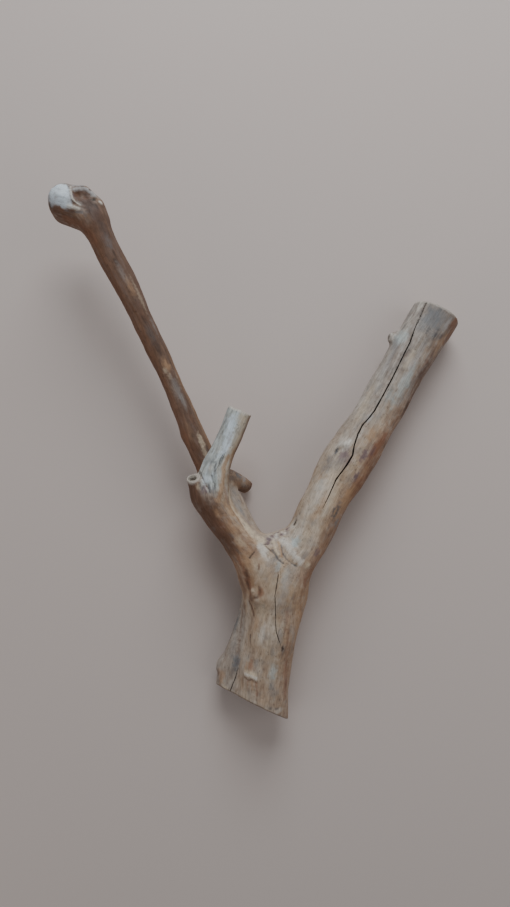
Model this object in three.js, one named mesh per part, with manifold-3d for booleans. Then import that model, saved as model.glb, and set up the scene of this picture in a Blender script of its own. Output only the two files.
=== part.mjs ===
// A fallen branch with its bark gone, lying on its back: a stout trunk that forks into a thick
// sawn limb and a shoulder, which carries a sawn stub, a hollow stub, a long limb that ends in a
// knuckle, and a broken spur at the back.
//
// Millimetres. While the branch is shaped, x runs to the right, y up the trunk and z up from the
// ground, all counted from the crotch between trunk and limbs. At the end the branch is laid on
// its three feet, and the middle of its footprint becomes the origin.
import * as THREE from "three";
import { mergeVertices } from "three/addons/utils/BufferGeometryUtils.js";
import Module from "manifold-3d";

// ---- Driving dimensions ----
const FACET = 6.6; // side of the facets that the wood is skinned with
const FORK_GAP = 0.3; // gap between two pieces that meet at a fork
const EVEN_ROUNDS = 4; // times that the corners of the facets are spread out evenly
const STEPS = 4; // straight lengths between two stations of a limb
const WAVE = 0.7; // height of the slow swellings all over the wood
const HOLLOW_RADIUS = 4.6; // mouth of the rotted pith in the hollow stub
const HOLLOW_DEPTH = 12;

// ---- Limbs: stations from root to tip, each [x, y, z, radius] ----
// flow is how far a limb blends into the wood that it grows from.
const LIMBS = {
  trunk: {
    flow: 10,
    stations: [
      [-10, -200, 29, 29],
      [-8, -165, 29, 28.5],
      [-5, -139, 31, 26.5],
      [-1, -113, 35, 25],
      [3, -87, 38, 26],
      [7, -61, 37, 29],
      [8.5, -41, 36, 31.5],
      [3, -20, 41, 29],
    ],
  },
  buttress: {
    flow: 7,
    stations: [
      [-37, -185, 20, 18],
      [-36, -152, 21, 17.5],
      [-34, -129, 22, 16],
      [-28, -108, 25, 13.5],
      [-22, -87, 29, 11.5],
      [-15, -63, 33, 12],
    ],
  },
  thick: {
    flow: 12,
    stations: [
      [10, -45, 41, 19],
      [23, -20, 44, 21],
      [38, 4, 43, 21.5],
      [62, 52, 39, 23],
      [86, 91, 35, 25],
      [112, 133, 31, 22.5],
      [141, 184, 27, 23],
      [173, 235, 25, 24.5],
      [191, 265, 25, 25],
    ],
  },
  front: {
    flow: 14,
    stations: [
      [4, -40, 42, 25],
      [-14, -12, 46, 20.5],
      [-35, 14, 52, 15],
      [-47.5, 32, 56, 14.5],
      [-56, 50, 59, 15.5],
    ],
  },
  stub: {
    flow: 8,
    stations: [
      [-55, 50, 58, 15],
      [-52, 74, 60, 13.5],
      [-46, 89, 60, 12],
      [-36, 111, 60, 12],
      [-27, 132, 60, 12],
      [-17, 154, 60, 12],
    ],
  },
  hollow: {
    flow: 9,
    stations: [
      [-50, 34, 54, 11],
      [-62, 47, 56, 11.5],
      [-69, 58, 62, 8.5],
      [-73, 68, 69, 6.3],
      [-77, 80, 77, 6.3],
    ],
  },
  rear: {
    flow: 7,
    stations: [
      [-8, -19, 42, 17],
      [-12, -6, 39, 14.5],
      [-25.5, 19, 36, 12.4],
      [-36.5, 41, 35, 12.2],
      [-47, 56, 36, 12.5],
      [-56, 72, 38, 12],
    ],
  },
  long: {
    flow: 5,
    stations: [
      [-56, 72, 38, 12],
      [-71, 102, 42, 11.5],
      [-84, 134, 46, 10],
      [-101, 173, 52, 9.5],
      [-135, 249, 64, 11.5],
      [-160, 299, 72, 12.5],
      [-166, 312, 74, 13],
      [-170, 321, 75, 12.5],
    ],
  },
  knuckle: {
    flow: 8,
    stations: [
      [-172, 325, 77, 12],
      [-182, 329, 78, 14],
      [-192, 331, 79, 15],
    ],
  },
  jowl: {
    flow: 8,
    stations: [
      [-168, 313, 73, 13],
      [-181, 319, 70, 14],
      [-193, 324, 70, 14],
    ],
  },
  nub: {
    flow: 5,
    stations: [
      [136, 205, 28, 9],
      [127, 208, 30, 5.5],
    ],
  },
  spur: {
    flow: 6,
    stations: [
      [-40, 66, 34, 10],
      [-28.5, 60, 18, 8],
      [-17, 53, -1.5, 7.6],
    ],
  },
};

// ---- Knots that stand out of the wood and scars sunk into it: [x, y, z, radius, height] ----
const KNOTS = [
  [-12, -50, 66, 8, 3],
  [66, 94, 44, 13, 2.5],
  [-87, 106, 40, 6, 2],
  [-14, -128, 56, 12, 3],
  [-48, -125, 22, 8, 4],
  [-172, 340, 84, 7, 4],
  [12, 10, 45, 11, 5],
];
const SCARS = [
  [-172, 328, 90, 9, 5],
  [72, 93, 60, 7, 2],
  [-4, 14, 42, 7, 2],
];

// ---- Saw cuts: the limb, the station where the blade crossed it, the way its face looks, and the
// width of what was sawn away ----
const SAW_CUTS = [
  { limb: "trunk", station: 1, faces: [-0.42, -0.87, 0.25], width: 130 },
  { limb: "thick", station: 6.97, faces: [0.46, 0.88, -0.08], width: 80 },
  { limb: "stub", station: 4, faces: [0.43, 0.9, 0.02], width: 50 },
  { limb: "hollow", station: 3, faces: [-0.1, 0.81, 0.58], width: 17 },
  { limb: "spur", station: 1.6, faces: [0.62, -0.55, -0.56], width: 30 },
];

// ---- Forks: where each side branch leaves the wood that carries it ----
const FORKS = [
  { limb: "thick", station: 2.1, reach: 42 },
  { limb: "front", station: 1.3, reach: 40 },
  { limb: "stub", station: 2, reach: 14 },
  { limb: "long", station: 0.8, reach: 17 },
  { limb: "spur", station: 0.85, reach: 13 },
];

// ---- Pieces: each named after what lies at a station of a limb ----
const PIECES = [
  { name: "trunk", limb: "trunk", station: 3, colour: 0xa89280 },
  { name: "thick_limb", limb: "thick", station: 5, colour: 0xac9a8c },
  { name: "left_limb", limb: "front", station: 3, colour: 0x967c68 },
  { name: "sawn_stub", limb: "stub", station: 3, colour: 0xbebcb8 },
  { name: "long_limb", limb: "long", station: 3, colour: 0x806c5f },
  { name: "back_spur", limb: "spur", station: 1.2, colour: 0x8c8278 },
];
const FEET = ["trunk", "thick_limb", "back_spur"];

const wasm = await Module();
wasm.setup();

// ---- Limb curves ----
const curves = Object.fromEntries(
  Object.entries(LIMBS).map(([name, { stations }]) => {
    const centre = new THREE.CatmullRomCurve3(stations.map((s) => new THREE.Vector3(...s)));
    const girth = new THREE.CatmullRomCurve3(stations.map((s) => new THREE.Vector3(s[3], 0, 0)));
    const last = stations.length - 1;
    return [
      name,
      {
        last,
        pointAt: (station) => centre.getPoint(station / last),
        wayAt: (station) => centre.getTangent(station / last),
        radiusAt: (station) => girth.getPoint(station / last).x,
      },
    ];
  }),
);

// The straight tapered lengths that stand for a limb: start, run to its end, and both radii.
function lengthsOf({ last, pointAt, radiusAt }) {
  return Array.from({ length: last * STEPS }, (_, i) => {
    const [a, b] = [i / STEPS, (i + 1) / STEPS];
    const start = pointAt(a);
    const run = pointAt(b).sub(start);
    return { start, run, square: run.lengthSq(), from: radiusAt(a), to: radiusAt(b) };
  });
}

// ---- The wood as a distance field: below zero inside ----
const limbs = Object.entries(LIMBS).map(([name, { flow }]) => ({
  flow,
  lengths: lengthsOf(curves[name]),
}));
const offset = new THREE.Vector3();

function distanceToLimb(point, lengths) {
  let nearest = Infinity;
  for (const { start, run, square, from, to } of lengths) {
    const t = THREE.MathUtils.clamp(offset.copy(point).sub(start).dot(run) / square, 0, 1);
    offset.addScaledVector(run, -t);
    nearest = Math.min(nearest, offset.length() - THREE.MathUtils.lerp(from, to, t));
  }
  return nearest;
}

function blend(a, b, flow) {
  const overlap = Math.max(1 - Math.abs(a - b) / flow, 0);
  return Math.min(a, b) - (overlap * overlap * flow) / 4;
}

// Slow swellings, so that no stretch of wood is a plain cone.
const swelling = ({ x, y, z }) =>
  WAVE *
  (Math.sin(x / 11 + y / 27) * Math.cos(y / 19 - z / 9) + 0.6 * Math.sin(y / 12 + x / 31 + z / 7));

const bump = (point, [x, y, z, radius, height]) =>
  height * Math.exp(-((point.x - x) ** 2 + (point.y - y) ** 2 + (point.z - z) ** 2) / radius ** 2);

function wood(point) {
  let distance = Infinity;
  for (const { flow, lengths } of limbs)
    distance = blend(distance, distanceToLimb(point, lengths), flow);
  for (const knot of KNOTS) distance -= bump(point, knot);
  for (const scar of SCARS) distance += bump(point, scar);
  return distance - swelling(point);
}

// ---- Skin: one corner in each cell of a grid that the surface crosses, moved onto the surface ----
function slope(point) {
  const h = 0.5;
  const step = (axis) => {
    const there = point.clone();
    there[axis] += h;
    const back = point.clone();
    back[axis] -= h;
    return (wood(there) - wood(back)) / (2 * h);
  };
  return new THREE.Vector3(step("x"), step("y"), step("z"));
}

function ontoSurface(point) {
  for (let i = 0; i < 2; i++) {
    const uphill = slope(point);
    point.addScaledVector(uphill, -wood(point) / uphill.lengthSq());
  }
  return point;
}

function skin() {
  const box = new THREE.Box3();
  for (const { stations } of Object.values(LIMBS))
    for (const [x, y, z, radius] of stations) {
      const middle = new THREE.Vector3(x, y, z);
      box.union(new THREE.Box3(middle.clone(), middle).expandByScalar(radius + 2 * FACET));
    }
  const cells = box.getSize(new THREE.Vector3()).divideScalar(FACET).ceil();
  const stride = [1, cells.x + 1, (cells.x + 1) * (cells.y + 1)];
  const node = (i, j, k) => i + j * stride[1] + k * stride[2];
  const place = (i, j, k) => new THREE.Vector3(i, j, k).multiplyScalar(FACET).add(box.min);

  const values = new Float64Array(stride[2] * (cells.z + 1));
  for (let k = 0; k <= cells.z; k++)
    for (let j = 0; j <= cells.y; j++)
      for (let i = 0; i <= cells.x; i++) values[node(i, j, k)] = wood(place(i, j, k));
  const inside = (n) => values[n] < 0;

  // The edges of a cell that the surface crosses, grouped into the sheets that they belong to.
  function sheetsOf(i, j, k) {
    const base = node(i, j, k);
    const at = ([di, dj, dk]) => base + di + dj * stride[1] + dk * stride[2];
    const crossed = CELL_EDGES.map((e) => inside(at(e)) !== inside(at(e) + stride[e[3]]));
    const sheet = CELL_EDGES.map((_, e) => e);
    const join = (a, b) => {
      const [from, to] = [sheet[a], sheet[b]];
      for (const e of sheet.keys()) if (sheet[e] === from) sheet[e] = to;
    };
    for (const { edges, corners } of CELL_FACES) {
      const cut = edges.filter((e) => crossed[e]);
      if (cut.length === 2) join(...cut);
      if (cut.length === 4)
        for (const { corner, pair } of corners) if (inside(at(corner))) join(...pair);
    }
    return { crossed, sheet, base };
  }

  const positions = [];
  const index = [];
  const vertexOfSheet = new Map();
  function vertexIn(i, j, k, edge) {
    const { crossed, sheet, base } = sheetsOf(i, j, k);
    const key = base * 12 + sheet[edge];
    if (!vertexOfSheet.has(key)) {
      const members = CELL_EDGES.filter((_, e) => crossed[e] && sheet[e] === sheet[edge]);
      const sum = new THREE.Vector3();
      for (const [di, dj, dk, axis] of members) {
        const a = node(i + di, j + dj, k + dk);
        const share = values[a] / (values[a] - values[a + stride[axis]]);
        const cross = place(i + di, j + dj, k + dk);
        sum.add(cross.setComponent(axis, cross.getComponent(axis) + FACET * share));
      }
      vertexOfSheet.set(key, positions.length / 3);
      positions.push(...ontoSurface(sum.divideScalar(members.length)).toArray());
    }
    return vertexOfSheet.get(key);
  }

  const at = (v) => new THREE.Vector3().fromArray(positions, v * 3);
  const diagonals = new Set();
  // Four cells share each edge that the surface crosses. Their vertices make two triangles.
  function addQuad([a, b, c, d]) {
    const key = (v, w) => `${Math.min(v, w)} ${Math.max(v, w)}`;
    const shorter = at(a).distanceTo(at(c)) < at(b).distanceTo(at(d));
    const first = diagonals.has(key(b, d)) || (shorter && !diagonals.has(key(a, c)));
    diagonals.add(first ? key(a, c) : key(b, d));
    index.push(...(first ? [a, b, c, a, c, d] : [b, c, d, b, d, a]));
  }
  for (let k = 1; k < cells.z; k++)
    for (let j = 1; j < cells.y; j++)
      for (let i = 1; i < cells.x; i++)
        for (let axis = 0; axis < 3; axis++) {
          const start = node(i, j, k);
          if (inside(start) === inside(start + stride[axis])) continue;
          const ring = RINGS[axis].map((back) =>
            vertexIn(i - back[0], j - back[1], k - back[2], edgeNumber(back, axis)),
          );
          addQuad(inside(start) ? ring : ring.reverse());
        }
  evenOut(positions, index);
  return new THREE.BufferGeometry()
    .setAttribute("position", new THREE.Float32BufferAttribute(positions, 3))
    .setIndex(index);
}

// Moves each corner towards the middle of its neighbours and back onto the surface.
function evenOut(positions, index) {
  const neighbours = Array.from({ length: positions.length / 3 }, () => new Set());
  for (let i = 0; i < index.length; i += 3)
    for (const [a, b] of [
      [0, 1],
      [1, 2],
      [2, 0],
    ]) {
      neighbours[index[i + a]].add(index[i + b]);
      neighbours[index[i + b]].add(index[i + a]);
    }
  for (let round = 0; round < EVEN_ROUNDS; round++)
    neighbours.forEach((around, v) => {
      const middle = new THREE.Vector3();
      for (const n of around) middle.add(offset.fromArray(positions, n * 3));
      ontoSurface(middle.divideScalar(around.size)).toArray(positions, v * 3);
    });
}

// ---- The cells of the grid ----
const PAIRS = [
  [0, 0],
  [0, 1],
  [1, 0],
  [1, 1],
];
// A corner of a cell, from its place along one axis and along the two that follow it.
function cornerOf(axis, along, [u, v]) {
  const corner = [0, 0, 0];
  corner[axis] = along;
  corner[(axis + 1) % 3] = u;
  corner[(axis + 2) % 3] = v;
  return corner;
}
// The twelve edges of a cell, as the corner that each starts from and the axis that it runs along.
const CELL_EDGES = [0, 1, 2].flatMap((axis) => PAIRS.map((uv) => [...cornerOf(axis, 0, uv), axis]));
const edgeNumber = (start, axis) => axis * 4 + start[(axis + 1) % 3] * 2 + start[(axis + 2) % 3];
// The six faces of a cell: the edges round each, and the two of them that meet at each corner.
const CELL_FACES = [0, 1, 2].flatMap((axis) =>
  [0, 1].map((side) => ({
    edges: [...CELL_EDGES.keys()].filter((e) => {
      const edge = CELL_EDGES[e];
      return edge[3] !== axis && edge[axis] === side;
    }),
    corners: PAIRS.map((uv) => {
      const corner = cornerOf(axis, side, uv);
      const pair = [(axis + 1) % 3, (axis + 2) % 3].map((way) => edgeNumber(corner, way));
      return { corner, pair };
    }),
  })),
);
// The four cells round an edge along each axis, in turning order.
const RINGS = [0, 1, 2].map((axis) =>
  [PAIRS[3], PAIRS[1], PAIRS[0], PAIRS[2]].map((uv) => cornerOf(axis, 0, uv)),
);

// ---- Cutting ----
function solid(geometry) {
  const bare = new THREE.BufferGeometry().setAttribute("position", geometry.attributes.position);
  const merged = mergeVertices(geometry.index ? bare.setIndex(geometry.index) : bare, 1e-4);
  return new wasm.Manifold(
    new wasm.Mesh({
      numProp: 3,
      vertProperties: new Float32Array(merged.attributes.position.array),
      triVerts: new Uint32Array(merged.index.array),
    }),
  );
}

function geometryOf(manifold) {
  const { vertProperties, triVerts } = manifold.getMesh();
  return new THREE.BufferGeometry()
    .setAttribute("position", new THREE.BufferAttribute(vertProperties, 3))
    .setIndex(new THREE.BufferAttribute(triVerts, 1));
}

// A shape made round its own y axis, turned to look along a direction and set at a point.
function aimed(geometry, direction, point) {
  const up = new THREE.Vector3(0, 1, 0);
  const turn = new THREE.Quaternion().setFromUnitVectors(up, direction.clone().normalize());
  return solid(geometry.applyQuaternion(turn).translate(...point.toArray()));
}

function sawnAway({ limb, station, faces, width }) {
  const block = new THREE.BoxGeometry(width, width, width).translate(0, width / 2, 0);
  return aimed(block, new THREE.Vector3(...faces), curves[limb].pointAt(station));
}

function forkSlit({ limb, station, reach }) {
  const { pointAt, wayAt } = curves[limb];
  const disc = new THREE.CylinderGeometry(reach, reach, FORK_GAP, 32);
  return aimed(disc, wayAt(station), pointAt(station));
}

function rottedPith() {
  const { limb, station, faces } = SAW_CUTS.find((cut) => cut.limb === "hollow");
  const profile = [
    [0, -HOLLOW_DEPTH],
    [HOLLOW_RADIUS / 3, -HOLLOW_DEPTH * 0.85],
    [HOLLOW_RADIUS, 0],
    [HOLLOW_RADIUS, 2],
    [0, 2],
  ].map(([radius, y]) => new THREE.Vector2(radius, y));
  const pith = new THREE.LatheGeometry(profile, 16);
  return aimed(pith, new THREE.Vector3(...faces), curves[limb].pointAt(station));
}

// ---- Build ----
const cuts = [...SAW_CUTS.map(sawnAway), ...FORKS.map(forkSlit), rottedPith()];
const wholeBranch = cuts.reduce((rest, cut) => rest.subtract(cut), solid(skin()));
const loose = wholeBranch.decompose();

function pieceAt({ name, limb, station }) {
  const marker = new THREE.SphereGeometry(2, 8, 6);
  const heart = aimed(marker, new THREE.Vector3(0, 1, 0), curves[limb].pointAt(station));
  const found = loose.find((body) => body.intersect(heart).volume() > 0);
  if (!found) throw new Error(`no wood where ${name} should be`);
  return found;
}

const branch = new THREE.Group();
branch.name = "fallen_branch";
for (const piece of PIECES) {
  const material = new THREE.MeshStandardMaterial({
    color: piece.colour,
    roughness: 0.85,
    metalness: 0,
    flatShading: true,
  });
  const mesh = new THREE.Mesh(geometryOf(pieceAt(piece)), material);
  mesh.name = piece.name;
  branch.add(mesh);
}

// ---- Lay the branch on its three feet ----
function lowestPoint(mesh) {
  const places = mesh.geometry.attributes.position;
  let lowest = null;
  for (let i = 0; i < places.count; i++) {
    const point = new THREE.Vector3().fromBufferAttribute(places, i).applyMatrix4(mesh.matrixWorld);
    if (!lowest || point.z < lowest.z) lowest = point;
  }
  return lowest;
}

function layDown() {
  const up = new THREE.Vector3(0, 0, 1);
  for (let turn = 0; turn < 8; turn++) {
    branch.updateMatrixWorld(true);
    const [a, b, c] = FEET.map((name) => lowestPoint(branch.getObjectByName(name)));
    const normal = b.sub(a).cross(c.sub(a)).normalize();
    if (normal.z < 0) normal.negate();
    branch.quaternion.premultiply(new THREE.Quaternion().setFromUnitVectors(normal, up));
  }
  branch.updateMatrixWorld(true);
  const box = new THREE.Box3().setFromObject(branch, true);
  const middle = box.getCenter(new THREE.Vector3());
  branch.position.set(-middle.x, -middle.y, -box.min.z);
}
layDown();

export default branch;
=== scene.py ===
"""A fallen branch with its bark gone, lying on a pale floor and seen from straight above.

The limbs repeat the stations of the CAD part, in millimetres counted from the crotch. They give a
distance field, which is carved, skinned with a fine mesh, and cut into one piece for each CAD node.
The colours, some painted light and shade among them, the grain and the cracks are worked out at each point
of that skin.
"""

import bmesh
import bpy
import numpy as np
import openvdb
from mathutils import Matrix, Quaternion, Vector


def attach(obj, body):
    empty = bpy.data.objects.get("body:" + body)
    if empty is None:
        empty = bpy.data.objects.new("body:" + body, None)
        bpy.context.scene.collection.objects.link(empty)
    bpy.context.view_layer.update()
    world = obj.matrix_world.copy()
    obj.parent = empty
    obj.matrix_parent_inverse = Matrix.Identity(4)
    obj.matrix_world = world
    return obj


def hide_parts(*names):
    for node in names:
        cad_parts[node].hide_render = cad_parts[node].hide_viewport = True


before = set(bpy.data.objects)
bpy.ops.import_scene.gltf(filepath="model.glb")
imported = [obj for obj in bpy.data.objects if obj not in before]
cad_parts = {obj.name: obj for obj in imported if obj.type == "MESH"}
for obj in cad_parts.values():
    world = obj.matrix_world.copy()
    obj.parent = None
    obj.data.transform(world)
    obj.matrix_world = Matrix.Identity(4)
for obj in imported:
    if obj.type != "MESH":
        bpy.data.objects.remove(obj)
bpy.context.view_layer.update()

# ------------------------ sizes
MM = 0.001
CELL = 0.95  # side of the facets of the fine skin, mm
BAND = 3  # how many cells the distance field reaches to each side of the skin
COARSE = 4.0  # grid that finds where the skin is, mm
SEGMENT = 4.0  # straight lengths that stand for a limb, mm
WAVE = 0.7  # height of the slow swellings, as in the CAD part
FAR = 1e3  # a distance that is farther than anything on the branch, mm
# How the CAD part was laid down on its feet: a small turn, then a shift in mm.
LIE_TURN = Quaternion((1.0, -0.00027, 0.00264, 0.0)).normalized()
LIE_SHIFT = Vector((7.063, -82.401, -0.318))

# ------------------------ limbs

# Each limb: how widely it flows into the wood before it, and its stations (x, y, z, radius).
LIMBS = {
    "trunk": (10, [(-10, -200, 29, 29), (-8, -165, 29, 28.5), (-5, -139, 31, 26.5), (-1, -113, 35, 25),
                   (3, -87, 38, 26), (7, -61, 37, 29), (8.5, -41, 36, 31.5), (3, -20, 41, 29)]),
    "buttress": (7, [(-37, -185, 20, 18), (-36, -152, 21, 17.5), (-34, -129, 22, 16), (-28, -108, 25, 13.5),
                     (-22, -87, 29, 11.5), (-15, -63, 33, 12)]),
    "thick": (12, [(10, -45, 41, 19), (23, -20, 44, 21), (38, 4, 43, 21.5), (62, 52, 39, 23),
                   (86, 91, 35, 25), (112, 133, 31, 22.5), (141, 184, 27, 23), (173, 235, 25, 24.5),
                   (191, 265, 25, 25)]),
    "front": (14, [(4, -40, 42, 25), (-14, -12, 46, 20.5), (-35, 14, 52, 15), (-47.5, 32, 56, 14.5),
                   (-56, 50, 59, 15.5)]),
    "stub": (8, [(-55, 50, 58, 15), (-52, 74, 60, 13.5), (-46, 89, 60, 12), (-36, 111, 60, 12),
                 (-27, 132, 60, 12), (-17, 154, 60, 12)]),
    "hollow": (9, [(-50, 34, 54, 11), (-62, 47, 56, 11.5), (-69, 58, 62, 8.5), (-73, 68, 69, 6.3),
                   (-77, 80, 77, 6.3)]),
    "rear": (7, [(-8, -19, 42, 17), (-12, -6, 39, 14.5), (-25.5, 19, 36, 12.4), (-36.5, 41, 35, 12.2),
                 (-47, 56, 36, 12.5), (-56, 72, 38, 12)]),
    "long": (5, [(-56, 72, 38, 12), (-71, 102, 42, 11.5), (-84, 134, 46, 10), (-101, 173, 52, 9.5),
                 (-135, 249, 64, 11.5), (-160, 299, 72, 12.5), (-166, 312, 74, 13), (-170, 321, 75, 12.5)]),
    "knuckle": (8, [(-172, 325, 77, 12), (-182, 329, 78, 14), (-192, 331, 79, 15)]),
    "jowl": (8, [(-168, 313, 73, 13), (-181, 319, 70, 14), (-193, 324, 70, 14)]),
    "nub": (5, [(136, 205, 28, 9), (127, 208, 30, 5.5)]),
    "spur": (6, [(-40, 66, 34, 10), (-28.5, 60, 18, 8), (-17, 53, -1.5, 7.6)]),
}
# Knots that stand out of the wood and scars sunk into it: (x, y, z, radius, height).
KNOTS = [(-12, -50, 66, 8, 3), (66, 94, 44, 13, 2.5), (-87, 106, 40, 6, 2), (-14, -128, 56, 12, 3),
         (-48, -125, 22, 8, 4), (-172, 340, 84, 7, 4), (12, 10, 45, 11, 5)]
SCARS = [(-172, 328, 90, 9, 5), (72, 93, 60, 7, 2), (-4, 14, 42, 7, 2)]

# Flat ends: limb, station, the way the face looks, how far to the side it reaches, height and size of
# its lumps.
FLAT_ENDS = {
    "butt": ("trunk", 1, (-0.42, -0.87, 0.25), 75, 0.25, 6.0),
    "limb": ("thick", 6.97, (0.46, 0.88, -0.08), 60, 0.2, 5.0),
    "stub": ("stub", 4, (0.43, 0.9, 0.02), 25, 1.5, 4.0),
    "hollow": ("hollow", 3, (-0.1, 0.81, 0.58), 9.5, 0.25, 2.5),
    "spur": ("spur", 1.6, (0.62, -0.55, -0.56), 14, 0.7, 4.0),
}


def centres(limb, first, last=None):
    return [station[:3] for station in LIMBS[limb][1][first:last]]


# Runs of grain, each a line that the fibres follow. Three of them rise through the trunk.
TRUNK_RUN = [(-10, -200, 29), (-5, -139, 30), (-1, -113, 31), (3, -87, 34)]
GRAINS = {
    "thick": TRUNK_RUN + [(9, -55, 39)] + centres("thick", 1),
    "front": TRUNK_RUN + [(3, -50, 40), (-12, -11, 46), (-32, 16, 51), (-45, 34, 55), (-53, 54, 59)]
    + centres("stub", 1, 4) + centres("stub", 5),
    "rear": TRUNK_RUN + [(0, -45, 40), (-14, -7, 39), (-26, 18, 36), (-37, 40, 35), (-47, 56, 36)]
    + centres("long", 0, 7) + [(-176, 324, 76), (-195, 331, 76), (-215, 335, 76)],
    "spur": [(-48, 70, 45), (-40, 66, 34), (-28, 61, 19), (-17, 54, 0)],
}
# The run that each limb follows, as its number in GRAINS. The others follow the first.
GRAIN_OF_LIMB = {"front": 1, "stub": 1, "hollow": 1, "rear": 2, "long": 2, "knuckle": 2, "jowl": 2,
                 "spur": 3}

# ------------------------ curves

SHORTEST_GAP = 1e-4  # below this, two points of a curve are one


def catmull(points, at):
    """Points on the curve through all the points, evened by the square root of their distances."""
    points = np.asarray(points, float)
    last = len(points) - 1
    whole = np.minimum(np.floor(at).astype(int), last - 1)
    part = (at - whole)[:, None]
    ends = np.vstack([2 * points[0] - points[1], points, 2 * points[-1] - points[-2]])
    a, b, c, d = (ends[whole + k] for k in range(4))

    def gap(p, q, if_none):
        g = ((p - q) ** 2).sum(1, keepdims=True) ** 0.25
        return np.where(g < SHORTEST_GAP, if_none, g)

    two = gap(b, c, 1.0)
    one, three = gap(a, b, two), gap(c, d, two)
    start = ((b - a) / one - (c - a) / (one + two) + (c - b) / two) * two
    stop = ((c - b) / two - (d - b) / (two + three) + (d - c) / three) * two
    return (b + start * part + (-3 * b + 3 * c - 2 * start - stop) * part**2
            + (2 * b - 2 * c + start + stop) * part**3)


def limb_lengths(stations):
    """The straight tapered lengths that stand for a limb: starts, ends, radii at both."""
    middles = np.array([s[:3] for s in stations], float)
    radii = np.array([[s[3], 0.0, 0.0] for s in stations], float)
    at = [0.0]
    for i in range(len(stations) - 1):
        count = max(2, round(np.linalg.norm(middles[i + 1] - middles[i]) / SEGMENT))
        at += [i + (k + 1) / count for k in range(count)]
    at = np.array(at)
    line, girth = catmull(middles, at), catmull(radii, at)[:, 0]
    return line[:-1], line[1:], girth[:-1], girth[1:]


LENGTHS = {name: limb_lengths(stations) for name, (_, stations) in LIMBS.items()}


def point_at(limb, station, step=0.01):
    """The point of a limb's middle line at a station, and the way the line goes there."""
    before, here, after = catmull(centres(limb, 0), np.array([station - step, station, station + step]))
    return here, (after - before) / np.linalg.norm(after - before)


# Flat ends by name: place, the way the face looks, the limb's own way there, reach, lumps.
CUT_FACES = {}
for name, (limb, station, faces, reach, height, cell) in FLAT_ENDS.items():
    at, way = point_at(limb, station)
    CUT_FACES[name] = (at, np.array(faces) / np.linalg.norm(faces), way, reach, height, cell)

# ------------------------ noise
NOISE_SLOPES = 256  # how many slopes the noise picks from, a power of two
NOISE_GAIN = 1.6  # brings the noise to about -1 to 1
SEED_SHIFT = 17.13  # how far one seed's noise lies from the next one's, in noise cells
_random = np.random.default_rng(20)
_shuffle = np.tile(_random.permutation(NOISE_SLOPES), 2)
_slopes = _random.normal(size=(NOISE_SLOPES, 3))
_slopes /= np.linalg.norm(_slopes, axis=1, keepdims=True)


def noise(points, seed=0):
    """Smooth noise between about -1 and 1, at points counted in noise cells."""
    points = np.asarray(points, float) + SEED_SHIFT * seed
    cell = np.floor(points).astype(np.int64)
    part = points - cell
    ease = part**3 * (part * (part * 6 - 15) + 10)
    last = NOISE_SLOPES - 1
    cell &= last
    total = np.zeros(len(points))
    for dx in (0, 1):
        for dy in (0, 1):
            for dz in (0, 1):
                x, y, z = ((cell[:, i] + d) & last for i, d in enumerate((dx, dy, dz)))
                slope = _slopes[_shuffle[_shuffle[_shuffle[x] + y] + z]]
                share = np.ones(len(points))
                for i, d in enumerate((dx, dy, dz)):
                    share = share * (ease[:, i] if d else 1 - ease[:, i])
                total += share * (slope * (part - (dx, dy, dz))).sum(1)
    return total * NOISE_GAIN


def smooth(edge0, edge1, x):
    """0 before the first edge, 1 past the second one, and a soft step between them."""
    t = np.clip((x - edge0) / (edge1 - edge0), 0, 1)
    return t * t * (3 - 2 * t)


# ------------------------ the wood as a distance field, mm

LIMB_MARGIN = 20.0  # beyond this, a limb counts as far away, mm


def distance_to_limb(points, lengths):
    best = np.full(len(points), FAR, np.float32)
    for a, b, ra, rb in zip(*lengths):
        run = (b - a).astype(np.float32)
        offset = points - a.astype(np.float32)
        t = np.clip(offset @ run / (run @ run), 0, 1)
        offset -= t[:, None] * run
        np.minimum(best, np.sqrt((offset**2).sum(1)) - (ra + (rb - ra) * t), out=best)
    return best


def limb_box(stations, margin):
    """The corners of a box that holds the limb and a margin round it."""
    stations = np.array(stations, float)
    middles, radii = stations[:, :3], stations[:, 3:]
    return (middles - radii).min(0) - margin, (middles + radii).max(0) + margin


def distances(points):
    """Each limb's own distance at the points, and all of them blended, before knots and swellings."""
    points = points.astype(np.float32)
    own = {}
    wood = np.full(len(points), FAR, np.float32)
    for name, (flow, stations) in LIMBS.items():
        low, high = limb_box(stations, LIMB_MARGIN)
        near = ((points > low) & (points < high)).all(1)
        d = np.full(len(points), FAR, np.float32)
        d[near] = distance_to_limb(points[near], LENGTHS[name])
        own[name] = d
        overlap = np.maximum(1 - np.abs(wood - d) / flow, 0)
        wood = np.minimum(wood, d) - overlap**2 * flow / 4
    return wood, own


def bump(points, spot):
    """The height of a round swelling at the points."""
    x, y, z, radius, height = spot
    return height * np.exp(-((points - (x, y, z)) ** 2).sum(1) / radius**2)


def swelling(points):
    """The height of the wood's slow swellings, the same sines as in the CAD part."""
    x, y, z = points.T
    waves = np.sin(x / 11 + y / 27) * np.cos(y / 19 - z / 9) + 0.6 * np.sin(y / 12 + x / 31 + z / 7)
    return WAVE * waves


def whole_wood(points):
    wood, _ = distances(points)
    for knot in KNOTS:
        wood = wood - bump(points, knot)
    for scar in SCARS:
        wood = wood + bump(points, scar)
    return carve(points, wood - swelling(points))


def off_line(points, start, way):
    """How far the points are along a line, and how far to its side."""
    way = np.asarray(way, float) / np.linalg.norm(way)
    offset = points - np.asarray(start, float)
    along = offset @ way
    return along, np.sqrt(np.maximum((offset**2).sum(1) - along**2, 0))


OFF_SKIN = 7.0  # farther than this from the skin, a path isn't on it, mm


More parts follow.
